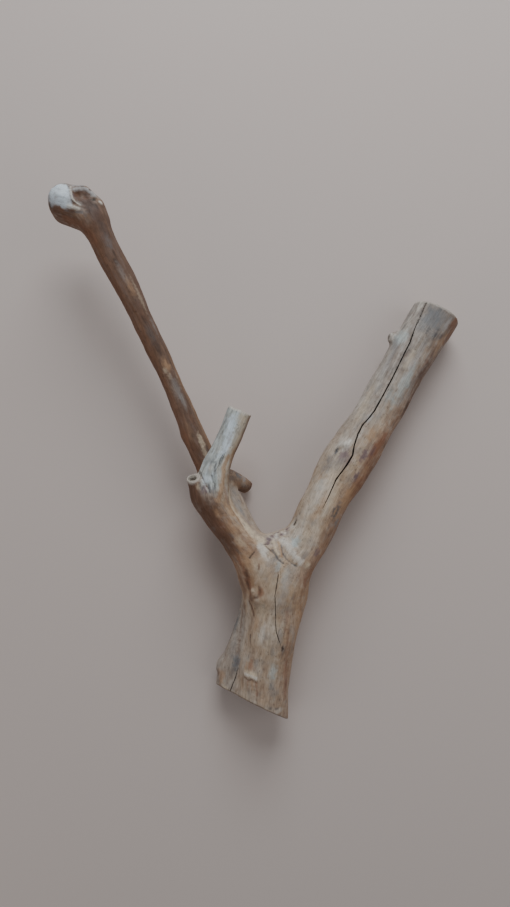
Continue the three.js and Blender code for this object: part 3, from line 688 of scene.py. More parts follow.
# Patches in the wood: x, y, z, half width across the grain and along it, colour, strength.
PATCHES = [
    # thick limb: the grey end, the nub, the healed knot, and the blotches down its right side
    (168, 222, 46, 17, 20, GREY, 0.6), (162, 224, 46, 9, 14, BLUE_GREY, 0.55),
    (172, 230, 46, 9, 14, BLUE_GREY, 0.45), (180, 214, 41, 2, 12, SLATE, 0.4),
    (158, 212, 47.5, 2.6, 6, SLATE, 0.8), (165, 209, 46.5, 2.8, 7, SLATE, 0.75),
    (172, 207, 44, 2.4, 6, SLATE, 0.5), (170, 218, 46, 2, 7, BLUE_GREY, 0.5),
    (178, 220, 44, 3, 10, ASH, 0.5), (188, 226, 41, 4.5, 14, RUST, 0.7), (185, 213, 35, 6, 18, RUST, 0.7),
    (190, 222, 33, 3, 6, DARK, 0.5), (152, 238, 40, 3, 6, PALE, 0.6),
    (155, 222, 46.5, 4, 14, BLUE_GREY, 0.5), (160, 188, 41, 5, 26, BROWN, 0.6),
    (150, 168, 41, 5, 22, BROWN, 0.55), (143, 160, 45, 3, 18, GREY, 0.5), (171, 200, 40, 6, 16, TAN, 0.5),
    (135, 212, 43, 3, 14, PALE, 0.5), (133, 206, 41, 7, 9, MIST, 0.8),
    (128, 200, 39, 4, 8, BLUE_GREY, 0.35), (124, 208, 35, 4, 4, PALE, 0.7),
    (121.5, 208.5, 32, 2.0, 2.4, DARK, 0.9), (140, 183, 49.5, 4, 16, CREAM, 0.45),
    (134, 160, 50, 5, 26, MIST, 0.6), (146, 186, 48, 4, 24, ASH, 0.45), (120, 150, 50.5, 3, 12, MIST, 0.4),
    (130, 143, 48.5, 3.5, 10, GREY, 0.5), (146, 147, 35, 6, 20, BROWN, 0.85),
    (140, 136, 39, 3, 9, DARK, 0.5), (150, 158, 38, 2.4, 12, DARK, 0.4), (136, 134, 41, 3, 14, DARK, 0.4),
    (141, 140, 37, 2, 12, RUST, 0.5), (124, 132, 46, 4, 10, BROWN, 0.4), (155, 190, 42, 6, 26, TAN, 0.35),
    (165, 190, 32, 6, 26, BROWN, 0.4), (108, 99, 53, 7, 15, RUST, 0.85), (100, 108, 55, 5, 11, TAN, 0.7),
    (98, 84, 54, 5, 12, RUST, 0.5), (115, 99, 46, 1.6, 4.5, DARK, 0.75), (110, 120, 50, 4, 6, PURPLE, 0.4),
    (101, 92, 55.5, 3.2, 6.5, PURPLE, 0.5), (93, 89, 58.5, 3.5, 7.5, PURPLE, 0.85),
    (85, 68, 58, 2.8, 5.5, PURPLE, 0.85), (88, 60, 53, 7, 24, RUST, 0.65), (93, 74, 53, 4, 11, TAN, 0.5),
    (75, 45, 56, 7, 17, TAN, 0.8), (97, 72, 44, 6, 20, BROWN, 0.5), (65.3, 35, 60, 3.6, 10, SLATE, 0.85),
    (64.3, 34, 60, 1.6, 5.5, TAN, 0.75), (67, 22, 54, 3.2, 5, BLUE_GREY, 0.55),
    (53, 42, 62, 4, 12, TAN, 0.45), (60, 46, 61, 4, 14, CREAM, 0.4), (46, 34, 62, 4, 9, TAN, 0.4),
    (72, 20, 46, 5, 20, BROWN, 0.4), (77, 100, 55.5, 4, 7, PALE, 0.9), (72, 101, 53, 3, 4, PALE, 0.6),
    (67, 93, 53.5, 2.0, 4.5, SLATE, 0.95), (62, 86, 50, 4, 7, GREY, 0.5),
    (74, 88, 57.8, 5, 9, PURPLE, 0.8), (78, 82.6, 59.7, 3, 5, PURPLE, 0.5), (70, 80, 58, 6, 10, GREY, 0.6),
    (62, 84, 53, 4, 12, BLUE_GREY, 0.35), (120, 176, 50, 3, 26, GREY, 0.55),
    (58, 78, 49, 6, 18, GREY, 0.35), (62, 66, 59, 5, 22, CREAM, 0.35), (48, 50, 57, 6, 24, PALE, 0.4),
    (52, 60, 55, 4, 12, MIST, 0.3), (99, 125, 53.8, 3, 6, ASH, 0.6), (109, 141, 51, 3, 6, GREY, 0.4),
    (92, 130, 47, 5, 20, CREAM, 0.4), (103, 152, 42, 4, 20, CREAM, 0.4), (118, 180, 42, 4, 26, ASH, 0.45),
    (126, 190, 43, 2, 18, GREY, 0.5),
    # crotch
    (0.4, 6.5, 58.5, 3.6, 3.6, PURPLE, 1), (4, 9, 55.5, 2.6, 3, PURPLE, 0.9),
    (9.5, 12.6, 51.5, 1.8, 2.6, PURPLE, 0.9), (13.7, 11.3, 54, 2, 2.4, PURPLE, 1),
    (19, 15.5, 51, 2.8, 3.4, PURPLE, 1), (-3, 3, 62, 1.6, 2.4, PURPLE, 0.8),
    (7.5, 9, 55, 2.2, 2.4, PALE, 0.8), (16, 12, 53.5, 2.0, 2.4, PALE, 0.7), (25, 19, 51, 3, 6, PALE, 0.6),
    (-0.5, 3.6, 61, 2.2, 2, PURPLE, 0.8), (27, 22.5, 52.5, 1.6, 5.5, DARK, 0.95),
    (26.8, 5, 61.5, 4.5, 8, MIST, 0.85), (36, 10, 60, 5, 12, CREAM, 0.4),
    (7.2, -9.6, 68.5, 2.6, 6, BLUE_GREY, 0.5), (9, -17, 70, 3, 7, MIST, 0.55),
    (-3.3, -3, 66.7, 4, 6, PALE, 0.7), (-8, 1.5, 64, 4, 4, PALE, 0.6),
    (47, -6, 59.7, 3, 5.5, PURPLE, 0.65), (38.4, -17.2, 62, 3, 4, CREAM, 0.7),
    (34, -8, 64, 3, 7, GREY, 0.4), (22, -22, 68, 6, 6, GREY, 0.35),
    (-9.1, -18.1, 71.2, 1.3, 4, BROWN, 0.75), (-13, -14, 70, 3, 7, CREAM, 0.4),
    (2, -22, 71.5, 3, 9, TAN, 0.3), (16, -26, 70, 4, 12, MIST, 0.3),
    # trunk
    (-18.5, -33, 62, 5, 14, RUST, 0.9), (-21, -25, 64.5, 3.5, 7, BROWN, 0.85),
    (-20, -36, 60.5, 2.6, 7, DARK, 0.5), (-15, -32, 66.5, 2.6, 7, TAN, 0.8),
    (-14.5, -42, 64.5, 2.6, 3.6, CREAM, 0.8), (-7.5, -43, 69, 3.2, 5, RUST, 0.7),
    (-17, -50, 60, 4, 4, BROWN, 0.7), (-26, -14, 62, 5, 12, RUST, 0.6), (-24, -40, 52, 5, 16, BROWN, 0.55),
    (-23, 2, 65, 6, 14, TAN, 0.5), (-20, -14, 67, 5, 14, TAN, 0.6), (2, -12, 71, 4, 8, GREY, 0.5),
    (6, -22, 71.5, 4, 10, GREY, 0.4), (-17, -78, 54.5, 1.8, 8, BROWN, 0.45),
    (-6.2, -60, 65, 5, 9, CREAM, 0.55), (-6, -84, 63, 4, 10, PALE, 0.45), (-12, -74, 60, 3, 9, TAN, 0.4),
    (4, -40, 71.5, 5, 14, CREAM, 0.3), (16, -38, 69, 6, 20, ASH, 0.35), (18, -64, 64, 6, 16, GREY, 0.35),
    (-1, -96, 61, 3, 9, CREAM, 0.5), (13.8, -98.7, 59.7, 1.5, 3.4, DARK, 0.9),
    (11.3, -90, 62, 3, 6, GREY, 0.5), (-17.3, -117, 55.5, 3, 9, RUST, 0.65),
    (-21, -119, 51, 3, 6, TAN, 0.5), (-10, -120, 58.5, 2.5, 6, GREY, 0.4),
    (5.1, -122, 58.5, 4.6, 9, MIST, 0.55), (3.7, -138, 57, 3, 8, BLUE_GREY, 0.35),
    (10, -162.5, 51, 7, 3.2, PALE, 0.45), (2, -158.5, 55.5, 2.6, 2, SLATE, 0.5),
    (9, -160, 53, 2.4, 1.6, SLATE, 0.6), (-4, -147, 58, 8, 10, TAN, 0.3),
    (-22, -146, 51, 6, 10, CREAM, 0.35), (34, -34, 56, 5, 16, RUST, 0.65),
    (30, -50, 52, 4, 14, BROWN, 0.35), (18, -118, 50, 1.6, 6, BROWN, 0.6),
    (18, -137, 47, 1.8, 9, BROWN, 0.6), (24, -84, 50, 4, 18, TAN, 0.6), (22, -76, 57, 3, 12, BROWN, 0.3),
    (-46, -135, 32, 5, 9, TAN, 0.55), (-43, -146, 35, 4, 5, CREAM, 0.6), (-50, -131, 28, 3, 4, BROWN, 0.5),
    (-32, -117, 39.5, 4.5, 9, BLUE_GREY, 0.75), (-31, -80, 33, 3.5, 15, BLUE_GREY, 0.65),
    (-24, -60, 44, 3, 10, BROWN, 0.4), (-35, -104, 36.5, 4, 12, GREY, 0.6),
    (-40, -115, 30, 4, 14, BROWN, 0.4), (-27, -137, 47, 4, 9, TAN, 0.35),
    (-36, -128, 39, 3, 7, SLATE, 0.4), (-38, -95, 28, 3, 14, SLATE, 0.4),
    # left limb: dark mottling on its left side, the tan ridge, the pale stem behind
    (-59.6, 41.8, 73, 3.5, 5, BROWN, 0.8), (-55, 32, 70, 4, 6, BROWN, 0.85),
    (-53, 29, 69.5, 2, 3.5, DARK, 0.6), (-65, 49, 73, 3, 6, BROWN, 0.7), (-49, 33, 72, 3, 7, TAN, 0.6),
    (-52, 45, 74.5, 3.5, 5, BROWN, 0.45), (-45, 22, 68, 3, 7, RUST, 0.5), (-40, 8, 65.5, 3, 6, BROWN, 0.5),
    (-33, -2, 65, 3.5, 8, BROWN, 0.35), (-36, 20, 66, 4, 12, TAN, 0.5), (-27, 6, 65, 4, 10, CREAM, 0.35),
    (-38, 28, 67, 2, 8, BROWN, 0.3), (-56.6, 56, 75, 2.2, 4, SLATE, 0.75),
    (-51, 57, 74.5, 1.8, 5, SLATE, 0.6), (-59, 58, 75, 2, 4, PURPLE, 0.6),
    (-60, 67, 73.5, 4, 5, CHALK, 0.7), (-54, 68, 74, 2.4, 5, CHALK, 0.6),
    (-67, 59, 74, 2.5, 4, CREAM, 0.6), (-63, 55, 74.5, 2, 4, PURPLE, 0.55), (-52, 64, 74, 3, 6, MIST, 0.6),
    (-47, 50, 73.5, 2.5, 5, BROWN, 0.45), (-74, 52, 67, 4, 9, BROWN, 0.55),
    (-66, 45, 72.5, 3.5, 7, BROWN, 0.5), (-62, 38, 71, 3, 7, BROWN, 0.35), (-71, 63, 71, 3, 4, BROWN, 0.4),
    (-35.8, 66, 43, 3, 8, SLATE, 0.45), (-28, 44, 46, 2.2, 5, BLUE_GREY, 0.7),
    (-25, 34, 48, 2, 6, BLUE_GREY, 0.8), (-22, 28, 50, 1.6, 4, SLATE, 0.4),
    (-32, 53, 45, 3, 5, BLUE_GREY, 0.45), (-19, 23, 49.5, 2, 4, PURPLE, 0.4),
    # spur
    (-31, 68, 33, 4, 6, BLUE_GREY, 0.75), (-26, 64, 25, 4, 4.5, ASH, 0.7), (-22, 57, 18, 4, 5, BROWN, 0.6),
    (-17, 57, 12, 5, 6, BROWN, 0.85), (-16, 53, 8, 4, 4, DARK, 0.65), (-26, 54, 20, 3, 6, DARK, 0.45),
    # stub
    (-50, 94, 67, 2.4, 16, BLUE_GREY, 0.55), (-43, 112, 66, 2.4, 9, BLUE_GREY, 0.6),
    (-53, 82, 70.5, 3, 7, BLUE_GREY, 0.6), (-36, 118, 71, 4, 14, CHALK, 0.95),
    (-40, 99, 71.5, 3.4, 14, CHALK, 0.9), (-48, 88, 71.5, 2, 8, CHALK, 0.6),
    (-45, 84, 72.5, 1.5, 6, SLATE, 0.55), (-31, 123, 71, 1.6, 7, MIST, 0.6),
    (-37, 105, 71, 1.2, 7, ASH, 0.7), (-26, 126, 70.5, 4, 6, CREAM, 0.6),
    (-29, 105, 66.5, 3, 15, CREAM, 0.6), (-33, 90, 66, 3.4, 9, TAN, 0.75),
    (-23, 114, 61, 2, 18, BROWN, 0.5), (-30, 94, 62, 2, 8, BROWN, 0.45), (-20, 127, 66, 2, 4, BROWN, 0.5),
    (-26, 122, 69, 3, 8, CREAM, 0.6), (-57.5, 84, 67, 2, 6, CREAM, 0.5),
    (-47.5, 104, 66, 1.2, 6, SLATE, 0.5), (-51, 78, 73, 1.4, 5, SLATE, 0.6),
    (-55.5, 77, 72, 2, 4, PALE, 0.6),
    # long limb
    (-99, 177, 61.8, 4, 8, TAN, 0.7), (-100, 171, 61.5, 2.4, 3, CREAM, 0.5),
    (-96, 166, 60, 2, 4, CREAM, 0.4), (-89, 153, 57.5, 4, 14, GREY, 0.6), (-83, 141, 55, 3, 8, GREY, 0.5),
    (-95, 156, 55, 4, 12, TAN, 0.4), (-86, 128, 54, 4, 9, BROWN, 0.4), (-75, 124, 53.5, 3, 6, BROWN, 0.6),
    (-66, 104, 52.5, 3, 9, CREAM, 0.6), (-62, 92, 51.5, 2.4, 8, CREAM, 0.5),
    (-79, 106, 50, 4, 10, RUST, 0.5), (-71, 96, 52, 4, 9, BROWN, 0.7), (-73, 108, 53, 2, 5, DARK, 0.5),
    (-144, 272, 79, 2.2, 4, DARK, 0.75), (-146, 280, 80, 1.5, 3, DARK, 0.5),
    (-139, 262, 77, 3, 12, GREY, 0.4), (-131, 249, 75.3, 2.6, 10, TAN, 0.45),
    (-121, 222, 71, 3.6, 12, BROWN, 0.65), (-119, 219, 70, 2, 5, DARK, 0.5),
    (-113, 205, 67.5, 3.6, 12, SLATE, 0.4), (-107, 193, 65, 3, 8, DARK, 0.45),
    (-132, 238, 70, 3, 12, BROWN, 0.5), (-152, 292, 81, 3, 10, BLUE_GREY, 0.35),
    (-157, 297, 84, 4, 10, BROWN, 0.4), (-112, 214, 64, 2, 20, ASH, 0.3),
    (-125, 244, 71, 2, 18, CREAM, 0.35), (-92, 168, 56, 2, 14, CREAM, 0.35),
    # knuckle
    (-177.5, 331, 89.5, 4.2, 5, BROWN, 0.95), (-180, 331, 91, 1.8, 2.5, PURPLE, 0.6),
    (-171, 328.5, 87, 5, 5, BROWN, 0.85), (-175, 330, 88.5, 3, 4, DARK, 0.4),
    (-172, 333, 87.5, 1.5, 3, DARK, 0.4), (-169, 324, 88, 7.5, 9, UMBER, 0.9),
    (-162, 314, 87, 7, 10, UMBER, 0.7), (-155, 303, 84, 5, 12, UMBER, 0.6),
    # the pale dot at (-158, 326.5, 83) is a painted highlight on a small bump
    (-160, 315, 86.5, 4, 8, BROWN, 0.45), (-158, 326.5, 83, 1.8, 2.2, PALE, 0.95),
    # the dark and brown spots under the bulb's left end, near x = -200, are partly painted shade
    (-161.5, 322, 86, 1.5, 3, DARK, 0.55), (-204, 323, 84, 3, 4.5, DARK, 0.8),
    (-200, 319, 86, 4, 3, BROWN, 0.9), (-172, 316, 88.5, 3, 6, GREY, 0.4),
    (-163, 318, 87, 4, 8, SLATE, 0.2), (-176, 325, 89.5, 2.4, 3, GREY, 0.6),
    # the chalk at the bulb's left end is partly painted highlight
    (-206.5, 334, 80, 5, 6, CHALK, 0.9), (-162, 305, 86, 3, 7, BROWN, 0.4),
]
# Bands and thin lines of colour: path, half width, colour, strength.
LINES = [
    # knuckle: the chalky bulb and brown underside, partly painted highlight and shade; the lip and crease,
    # the flaky rim and its shadow
    ([(-201, 329, 86), (-198, 335, 89), (-193, 337, 91), (-190, 333, 93),
      (-190, 326, 93)], 6.8, CHALK, 0.95),
    ([(-197, 331, 91), (-196, 326, 91)], 5, CHALK, 0.95),
    ([(-192, 322.5, 91), (-186, 320.5, 91)], 3.0, CHALK, 0.9),
    ([(-186, 320, 91), (-181, 319.3, 90), (-177.5, 318.7, 89)], 2.0, PALE, 0.75),
    ([(-199, 316.5, 84), (-192, 312.8, 82.5), (-183, 309.5, 83), (-176, 307, 84.5),
      (-171, 301, 84)], 4.6, BROWN, 0.5),
    ([(-190, 312, 81), (-182, 309, 81), (-176, 306, 83), (-170, 300, 83),
      (-164, 290, 80)], 4.0, RUST, 0.55),
    ([(-190, 316.5, 88.5), (-182, 315.8, 88.8), (-174, 315.5, 88.5)], 1.3, BLUE_GREY, 0.55),
    ([(-184.3, 339, 90), (-183.2, 331, 92.5), (-181.7, 326.5, 92), (-179, 324, 90.5),
      (-175.5, 322.7, 89)], 1.0, PALE, 0.85),
    ([(-187, 341, 89), (-185.6, 337, 92), (-185.4, 331, 93.3), (-184.1, 326, 92.8), (-181.6, 323, 91),
      (-177.9, 321.3, 89.6)], 0.85, SLATE, 0.95),
    ([(-183, 341.5, 84), (-176, 341.5, 82), (-168, 340, 79), (-161, 335, 77)], 4.6, ASH, 0.85),
    ([(-190, 343, 86), (-183, 343, 84), (-176, 343, 80)], 2.4, GREY, 0.7),
    ([(-181, 336.2, 90), (-176, 338, 88), (-171, 337.5, 86.5), (-166.5, 335.5, 85.5),
      (-163.5, 333, 84)], 2.1, ASH, 0.95),
    ([(-173.5, 332, 88), (-170.7, 330.5, 87), (-167.3, 329.4, 86.3), (-163.8, 328.7, 85.7),
      (-162.3, 330.6, 84)], 1.5, CRACK_SHADE, 0.9),
    ([(-181, 341.5, 88), (-177, 341.5, 87), (-174, 340.5, 86.5)], 1.5, DARK, 0.85),
    # left limb: the brown side, partly painted shade; the tan ridge from the stub; the pale stem behind the
    # fold, partly painted light
    # The brown bands down the left side are partly its colour, partly painted shade.
    ([(-75.5, 58, 69), (-73, 50, 67), (-67.5, 42, 66), (-61, 33, 65), (-55, 24, 63), (-50, 16, 60),
      (-44, 5, 58), (-38, -6, 55)], 6.5, BROWN, 0.4),
    ([(-71, 52, 73), (-64, 44, 73), (-57, 34, 70.5), (-50, 24, 68), (-43, 12, 66),
      (-36, 0, 64)], 5.5, BROWN, 0.45),
    ([(-76, 64, 67), (-74, 55, 68), (-69, 48, 69)], 6.0, BROWN, 0.8),
    ([(-70, 42, 60), (-60, 26, 58), (-50, 10, 54), (-42, -4, 50), (-34, -20, 50)], 4.0, RUST, 0.6),
    ([(-61, 40, 71), (-56, 33, 69.5), (-50, 22, 67), (-42, 10, 65), (-36, 2, 63.5)], 2.6, BROWN, 0.55),
    ([(-38, 88, 70), (-42, 78, 71.5), (-43.5, 67, 71), (-45.3, 56, 72), (-48, 46.6, 73.5)], 2.8, TAN, 0.75),
    ([(-34, 52, 46), (-31.5, 43, 48), (-27.5, 34.5, 50), (-22.5, 26.5, 51), (-17, 19, 52.5),
      (-11, 12.5, 54), (-4, 8, 58)], 5.6, GREY, 0.4),
    # Along the fold, the cream on the rear stem is partly painted light. The rust strip on the front stem's
    # side and the brown line in the fold are painted shade.
    ([(-38, 57, 55), (-35.5, 48, 56), (-31, 39, 56), (-25.5, 29.5, 56), (-19.5, 20.5, 57), (-13, 13, 59),
      (-6, 7, 61)], 4.6, CREAM, 0.9),
    ([(-42.5, 58, 68), (-39, 47, 68), (-34.5, 37, 66), (-28.5, 27.5, 65),
      (-22.5, 17.5, 64)], 2.4, RUST, 0.45),
    ([(-37.5, 46, 60), (-33.5, 38, 57), (-28, 29, 56.5), (-22, 19.5, 57),
      (-16, 12.5, 59)], 1.6, CREAM, 0.8),
    ([(-42.3, 63, 61), (-40, 50, 62), (-36.4, 40.3, 60.5), (-30.6, 31, 60),
      (-24.7, 21, 60)], 1.3, BROWN, 0.6),
    # crotch
    ([(-9.8, 4.1, 63), (-6, 2.7, 63.2), (-0.5, 3, 62.2)], 0.75, DARK, 0.65),
    (CROTCH_FLAKE_EDGE, 0.8, DARK, 0.7),
    (CROTCH_LONG_CREASE, 0.85, SLATE, 0.85),
    (CROTCH_CREASE, 0.9, SLATE, 0.8),
    ([(-2, -4.6, 67.5), (0.2, -10.6, 70)], 0.7, BROWN, 0.65),
    ([(4.6, 5.5, 59.3), (6.4, -0.5, 63.8), (9, -6, 67)], 1.3, CREAM, 0.95),
    (CROTCH_FLAKE, 1.3, TAN, 0.7),
    ([(14.5, 6.5, 58.5), (18.5, 0.5, 62.3), (23, -5, 64.5), (28, -11, 65.3),
      (30.5, -14, 65.3)], 3.3, PALE, 0.8),
    ([(-8, 3, 63), (-5, -4, 67), (-2, -10, 70)], 3.0, PALE, 0.45),
    (CUT_MARK, 0.8, DARK, 0.8),
    # stub
    (LEFT_WRINKLE, 0.9, BROWN, 0.6),
    (RIGHT_WRINKLE, 0.9, DARK, 0.65),
    ([(-59, 73, 72), (-56, 62, 74), (-55, 56, 74)], 0.6, BROWN, 0.6),
    ([(-49, 72, 73), (-48, 64, 73)], 0.6, BROWN, 0.5),
    ([(-63, 68, 71), (-64, 60, 72), (-62, 54, 72)], 0.7, DARK, 0.45),
    ([(-66, 62, 73.5), (-63, 57, 74.5)], 1.3, SLATE, 0.5),
    ([(-62, 60, 74.5), (-59, 54, 75)], 1.3, PURPLE, 0.6),
    ([(-57, 61, 75), (-55, 54, 75)], 1.4, SLATE, 0.55),
    ([(-53, 58, 75), (-52.5, 50, 74.5)], 1.3, BLUE_GREY, 0.6),
    ([(-60, 62, 75), (-57.2, 53, 75)], 1.1, PALE, 0.6),
    # trunk
    ([(-9, -37.5, 69), (-8.5, -43.5, 68.3), (-10.5, -48, 66.5), (-15, -49, 63.3)], 1.5, BROWN, 0.6),
    ([(-18.5, -53.5, 55.5), (-16.3, -60.2, 56), (-14.5, -67.2, 57)], 1.8, BROWN, 0.8),
    ([(-17.2, -87.2, 53.5), (-17.2, -95.5, 53.6)], 0.9, DARK, 0.85),
    ([(-22, -124.5, 52.5), (-17, -123.5, 56.5), (-14, -125.5, 58)], 3.0, CREAM, 0.8),
    ([(-22.5, -126, 52), (-17.5, -126, 56.5), (-12, -128, 59.5)], 1.6, PALE, 0.75),
    ([(-23, -129.5, 51), (-19, -130.5, 55), (-16, -129.5, 57), (-11, -132, 59)], 1.0, BROWN, 0.5),
    ([(-20, -133, 54), (-19.4, -141, 53.5)], 1.3, RUST, 0.45),
    ([(-11.5, -133, 59), (-10.8, -145, 58)], 1.5, RUST, 0.5),
    ([(-15.5, -132, 57), (-15.2, -139, 56.5)], 1.5, TAN, 0.5),
    ([(-5, -133, 59.5), (-4, -142, 58.5)], 0.9, BROWN, 0.4),
    ([(18, -62, 62), (17.3, -78, 59), (17.5, -92, 57.5), (18.5, -108, 52.7), (18, -129, 48),
      (17, -150, 46)], 3.6, RUST, 0.35),
    ([(-26, -66, 40), (-27, -80, 38), (-29, -100, 39), (-31, -120, 40)], 1.3, BROWN, 0.6),
    # thick limb
    ([(109, 141, 51), (104, 132.6, 52.5), (98.8, 125.3, 54)], 0.6, SLATE, 0.6),
    # the small hole in the knuckle's flake
    ([(-167.3, 338, 90), (-167.3, 337.2, 82)], 1.2, DARK, 0.9),
]

SMALLEST_RAGS = 1.5  # the main rags of a mark's edge are at least this large, mm


class Paint:
    """The wood's colour at a set of points, mixed layer by layer."""

    def __init__(self, points, normals, grain):
        self.points, self.normals, self.grain = points, normals, grain
        self.colour = np.tile(BEIGE, (len(points), 1))
        self.ragged = grain.noise(2.5, 12, 31)

    def mix(self, amount, colour, where=slice(None)):
        share = np.clip(amount, 0, 1)[:, None]
        self.colour[where] += (colour - self.colour[where]) * share

    def facing(self, way, low, high):
        """How much the skin looks a way: 0 below one cosine of the angle, 1 above the other."""
        way = np.asarray(way, float) / np.linalg.norm(way)
        return smooth(low, high, self.normals @ way)

    def patch(self, x, y, z, across, along, colour, strength):
        offset = self.points - (x, y, z)
        near = np.flatnonzero(np.abs(offset).max(1) < 1.6 * max(across, along))
        offset = offset[near]
        run = (offset * self.grain.way[near]).sum(1)
        side = np.sqrt(np.maximum((offset**2).sum(1) - run**2, 0))
        size = max(SMALLEST_RAGS, 0.8 * across)
        p = self.points[near]
        ragged = 0.45 * noise(p / size, 3) + 0.2 * noise(p / (0.4 * size), 6)
        far = np.sqrt((side / across) ** 2 + (run / along) ** 2) + ragged + 0.2 * self.ragged[near]
        self.mix(strength * smooth(1.35, 0.35, far), colour, near)

    def line(self, path, width, colour, strength):
        near = np.flatnonzero(near_path(self.points, path, 6 * width))
        if len(near):
            p = self.points[near]
            ragged = 0.5 * noise(p / max(SMALLEST_RAGS, 0.8 * width), 8) + 0.25 * self.ragged[near]
            far = off_path(p, path)[0] / width + ragged
            self.mix(strength * smooth(1.4, 0.4, far), colour, near)


def limb_share(own, limbs, reach=3.0):
    """How much each point belongs to any of the limbs, from 0 to 1."""
    best = np.minimum.reduce([own[name] for name in limbs])
    rest = np.minimum.reduce([d for name, d in own.items() if name not in limbs])
    return smooth(-reach, reach, rest - best)


def paint_limbs(paint, y, knob_mottle):
    """The tone of each limb, and how it changes with the way the skin looks, which in places is painted
    light and shade.

    It returns how much each point belongs to the long limb, which has fewer pale spots.
    """
    mix, facing, streaks, own = paint.mix, paint.facing, paint.grain.noise, paint.grain.own
    thick = limb_share(own, ("thick", "nub"))
    long = limb_share(own, ("long",))
    knob = limb_share(own, ("knuckle", "jowl"), 5.0)
    stub = limb_share(own, ("stub",))
    front = limb_share(own, ("front", "hollow"))
    trunk = limb_share(own, ("trunk",))
    # Rust on the thick limb's lower right side: partly its colour, partly painted shade.
    mix(0.55 * thick * facing((0.85, -0.5, 0.1), 0.1, 0.9), RUST)
    mix(0.4 * thick * smooth(60, 130, y) * facing((-0.7, 0.4, 0.6), 0.2, 0.9), GREY)
    mix(0.5 * thick * smooth(110, 150, y) * facing((-0.9, 0.3, -0.1), 0.4, 0.9), PALE)
    mix(0.55 * thick * smooth(90, 210, y), GREY)
    mix(0.4 * thick * smooth(90, 170, y) * smooth(0.0, 0.5, streaks(2.6, 22, 71)), SLATE)
    mix(0.3 * thick * smooth(90, 170, y) * smooth(0.0, 0.5, streaks(3, 26, 72)), PALE)
    mix(0.9 * long, BROWN)
    mix(0.2 * long * smooth(0.1, 0.6, streaks(5, 26, 61)), TAN)
    mix(0.2 * long * smooth(0.1, 0.6, streaks(4, 26, 62)), GREY)
    # Painted light and shade that even out the lamp's shading on the long limb: rust lifts its lower left
    # side, umber darkens the side that faces the window lamp.
    mix(0.4 * long * facing((-0.8, -0.5, -0.1), -0.1, 0.7), RUST)
    mix(0.45 * long * facing((0.6, 0.6, 0.5), 0.1, 0.8), UMBER)
    mix(0.5 * long * smooth(210, 150, y) * facing((0.95, 0.4, -0.1), 0.6, 1.0), TAN)
    mix(0.5 * front, TAN)
    # Rust and brown on the left limb's left side: partly its colour, partly painted shade.
    mix(0.35 * front * facing((-0.85, -0.5, -0.1), 0.1, 0.9), RUST)
    mix(0.9 * front * smooth(-20, 8, y) * facing((-0.75, -0.3, 0.6), -0.2, 0.6), BROWN)
    mix(0.5 * limb_share(own, ("rear",)), GREY)
    mix(0.85 * stub * facing((-0.4, 0.3, 0.8), -0.3, 0.6), MIST)
    mix(0.4 * stub * smooth(0.0, 0.5, streaks(3, 12, 65)), CHALK)
    mix(0.4 * stub * smooth(0.1, 0.5, streaks(2, 10, 66)), SLATE)
    mix(0.5 * stub * facing((0.9, -0.3, 0.1), 0.1, 0.7), CREAM)
    mix(0.7 * stub * facing((0.9, -0.3, -0.1), 0.65, 1.0), BROWN)
    mix(0.55 * trunk * facing((0.95, 0.1, 0.1), 0.2, 0.95), TAN)
    mix(0.2 * trunk * facing((0.95, 0.1, 0.1), 0.5, 1.0), RUST)
    mix(0.3 * trunk * smooth(-60, -150, y), GREY)
    mix(0.6 * limb_share(own, ("buttress",)), GREY)
    mix(0.55 * limb_share(own, ("spur",)), BROWN)
    mix(0.85 * knob, BROWN)
    mix(0.3 * knob * smooth(-0.3, 0.4, knob_mottle), GREY)
    # Rust on the knob's underside: partly its colour, partly painted shade.
    mix(0.3 * knob * facing((0, -1, -0.2), 0.0, 0.6), RUST)
    return long


def paint_ends(paint):
    """The old bark left in the crotch, a painted highlight on the rims of the flat ends, and the rotted
    pith, pale partly as painted light.
    """
    mix, points = paint.mix, paint.points
    crotch = np.exp(-((points - (10, 11, 54)) ** 2).sum(1) / 11.0**2)
    mix(0.7 * crotch * smooth(0.15, 0.5, noise(points / 2.2, 15)), PURPLE)
    mix(0.5 * crotch * smooth(0.1, 0.5, noise(points / 2.6, 16)), PALE)
    # Painted highlight: a pale rim just behind the sawn ends, on the side that faces the light.
    for name, wide, strength in (("limb", 32, 0.55), ("stub", 15, 0.8)):
        along, side = off_cut(points, name)
        rim = smooth(-2.6, -1.2, along + 0.8 * noise(points / 4, 53)) * smooth(wide + 2, wide, side)
        mix(strength * rim * paint.facing((-0.3, 0.6, 0.7), 0.1, 0.6), PALE)
    along, side = off_cut(points, "hollow")
    mix(0.85 * smooth(8.5, 6.5, side) * smooth(-5, -1, along) * smooth(6, 3, along), PALE)
    # The rotted pith is painted pale: partly its own colour, partly painted light against the shade deep in
    # the hole. Darker blotches go over it.
    pith = smooth(PITH_RADIUS + 0.6, PITH_RADIUS, side) * smooth(-0.6, -2.5, along)
    pith = pith * smooth(-PITH_DEPTH - 2, -PITH_DEPTH, along)
    mix(0.9 * pith, PALE)
    mix(0.7 * pith * smooth(0.0, 0.4, noise(points / 2.4, 17)), DARK)


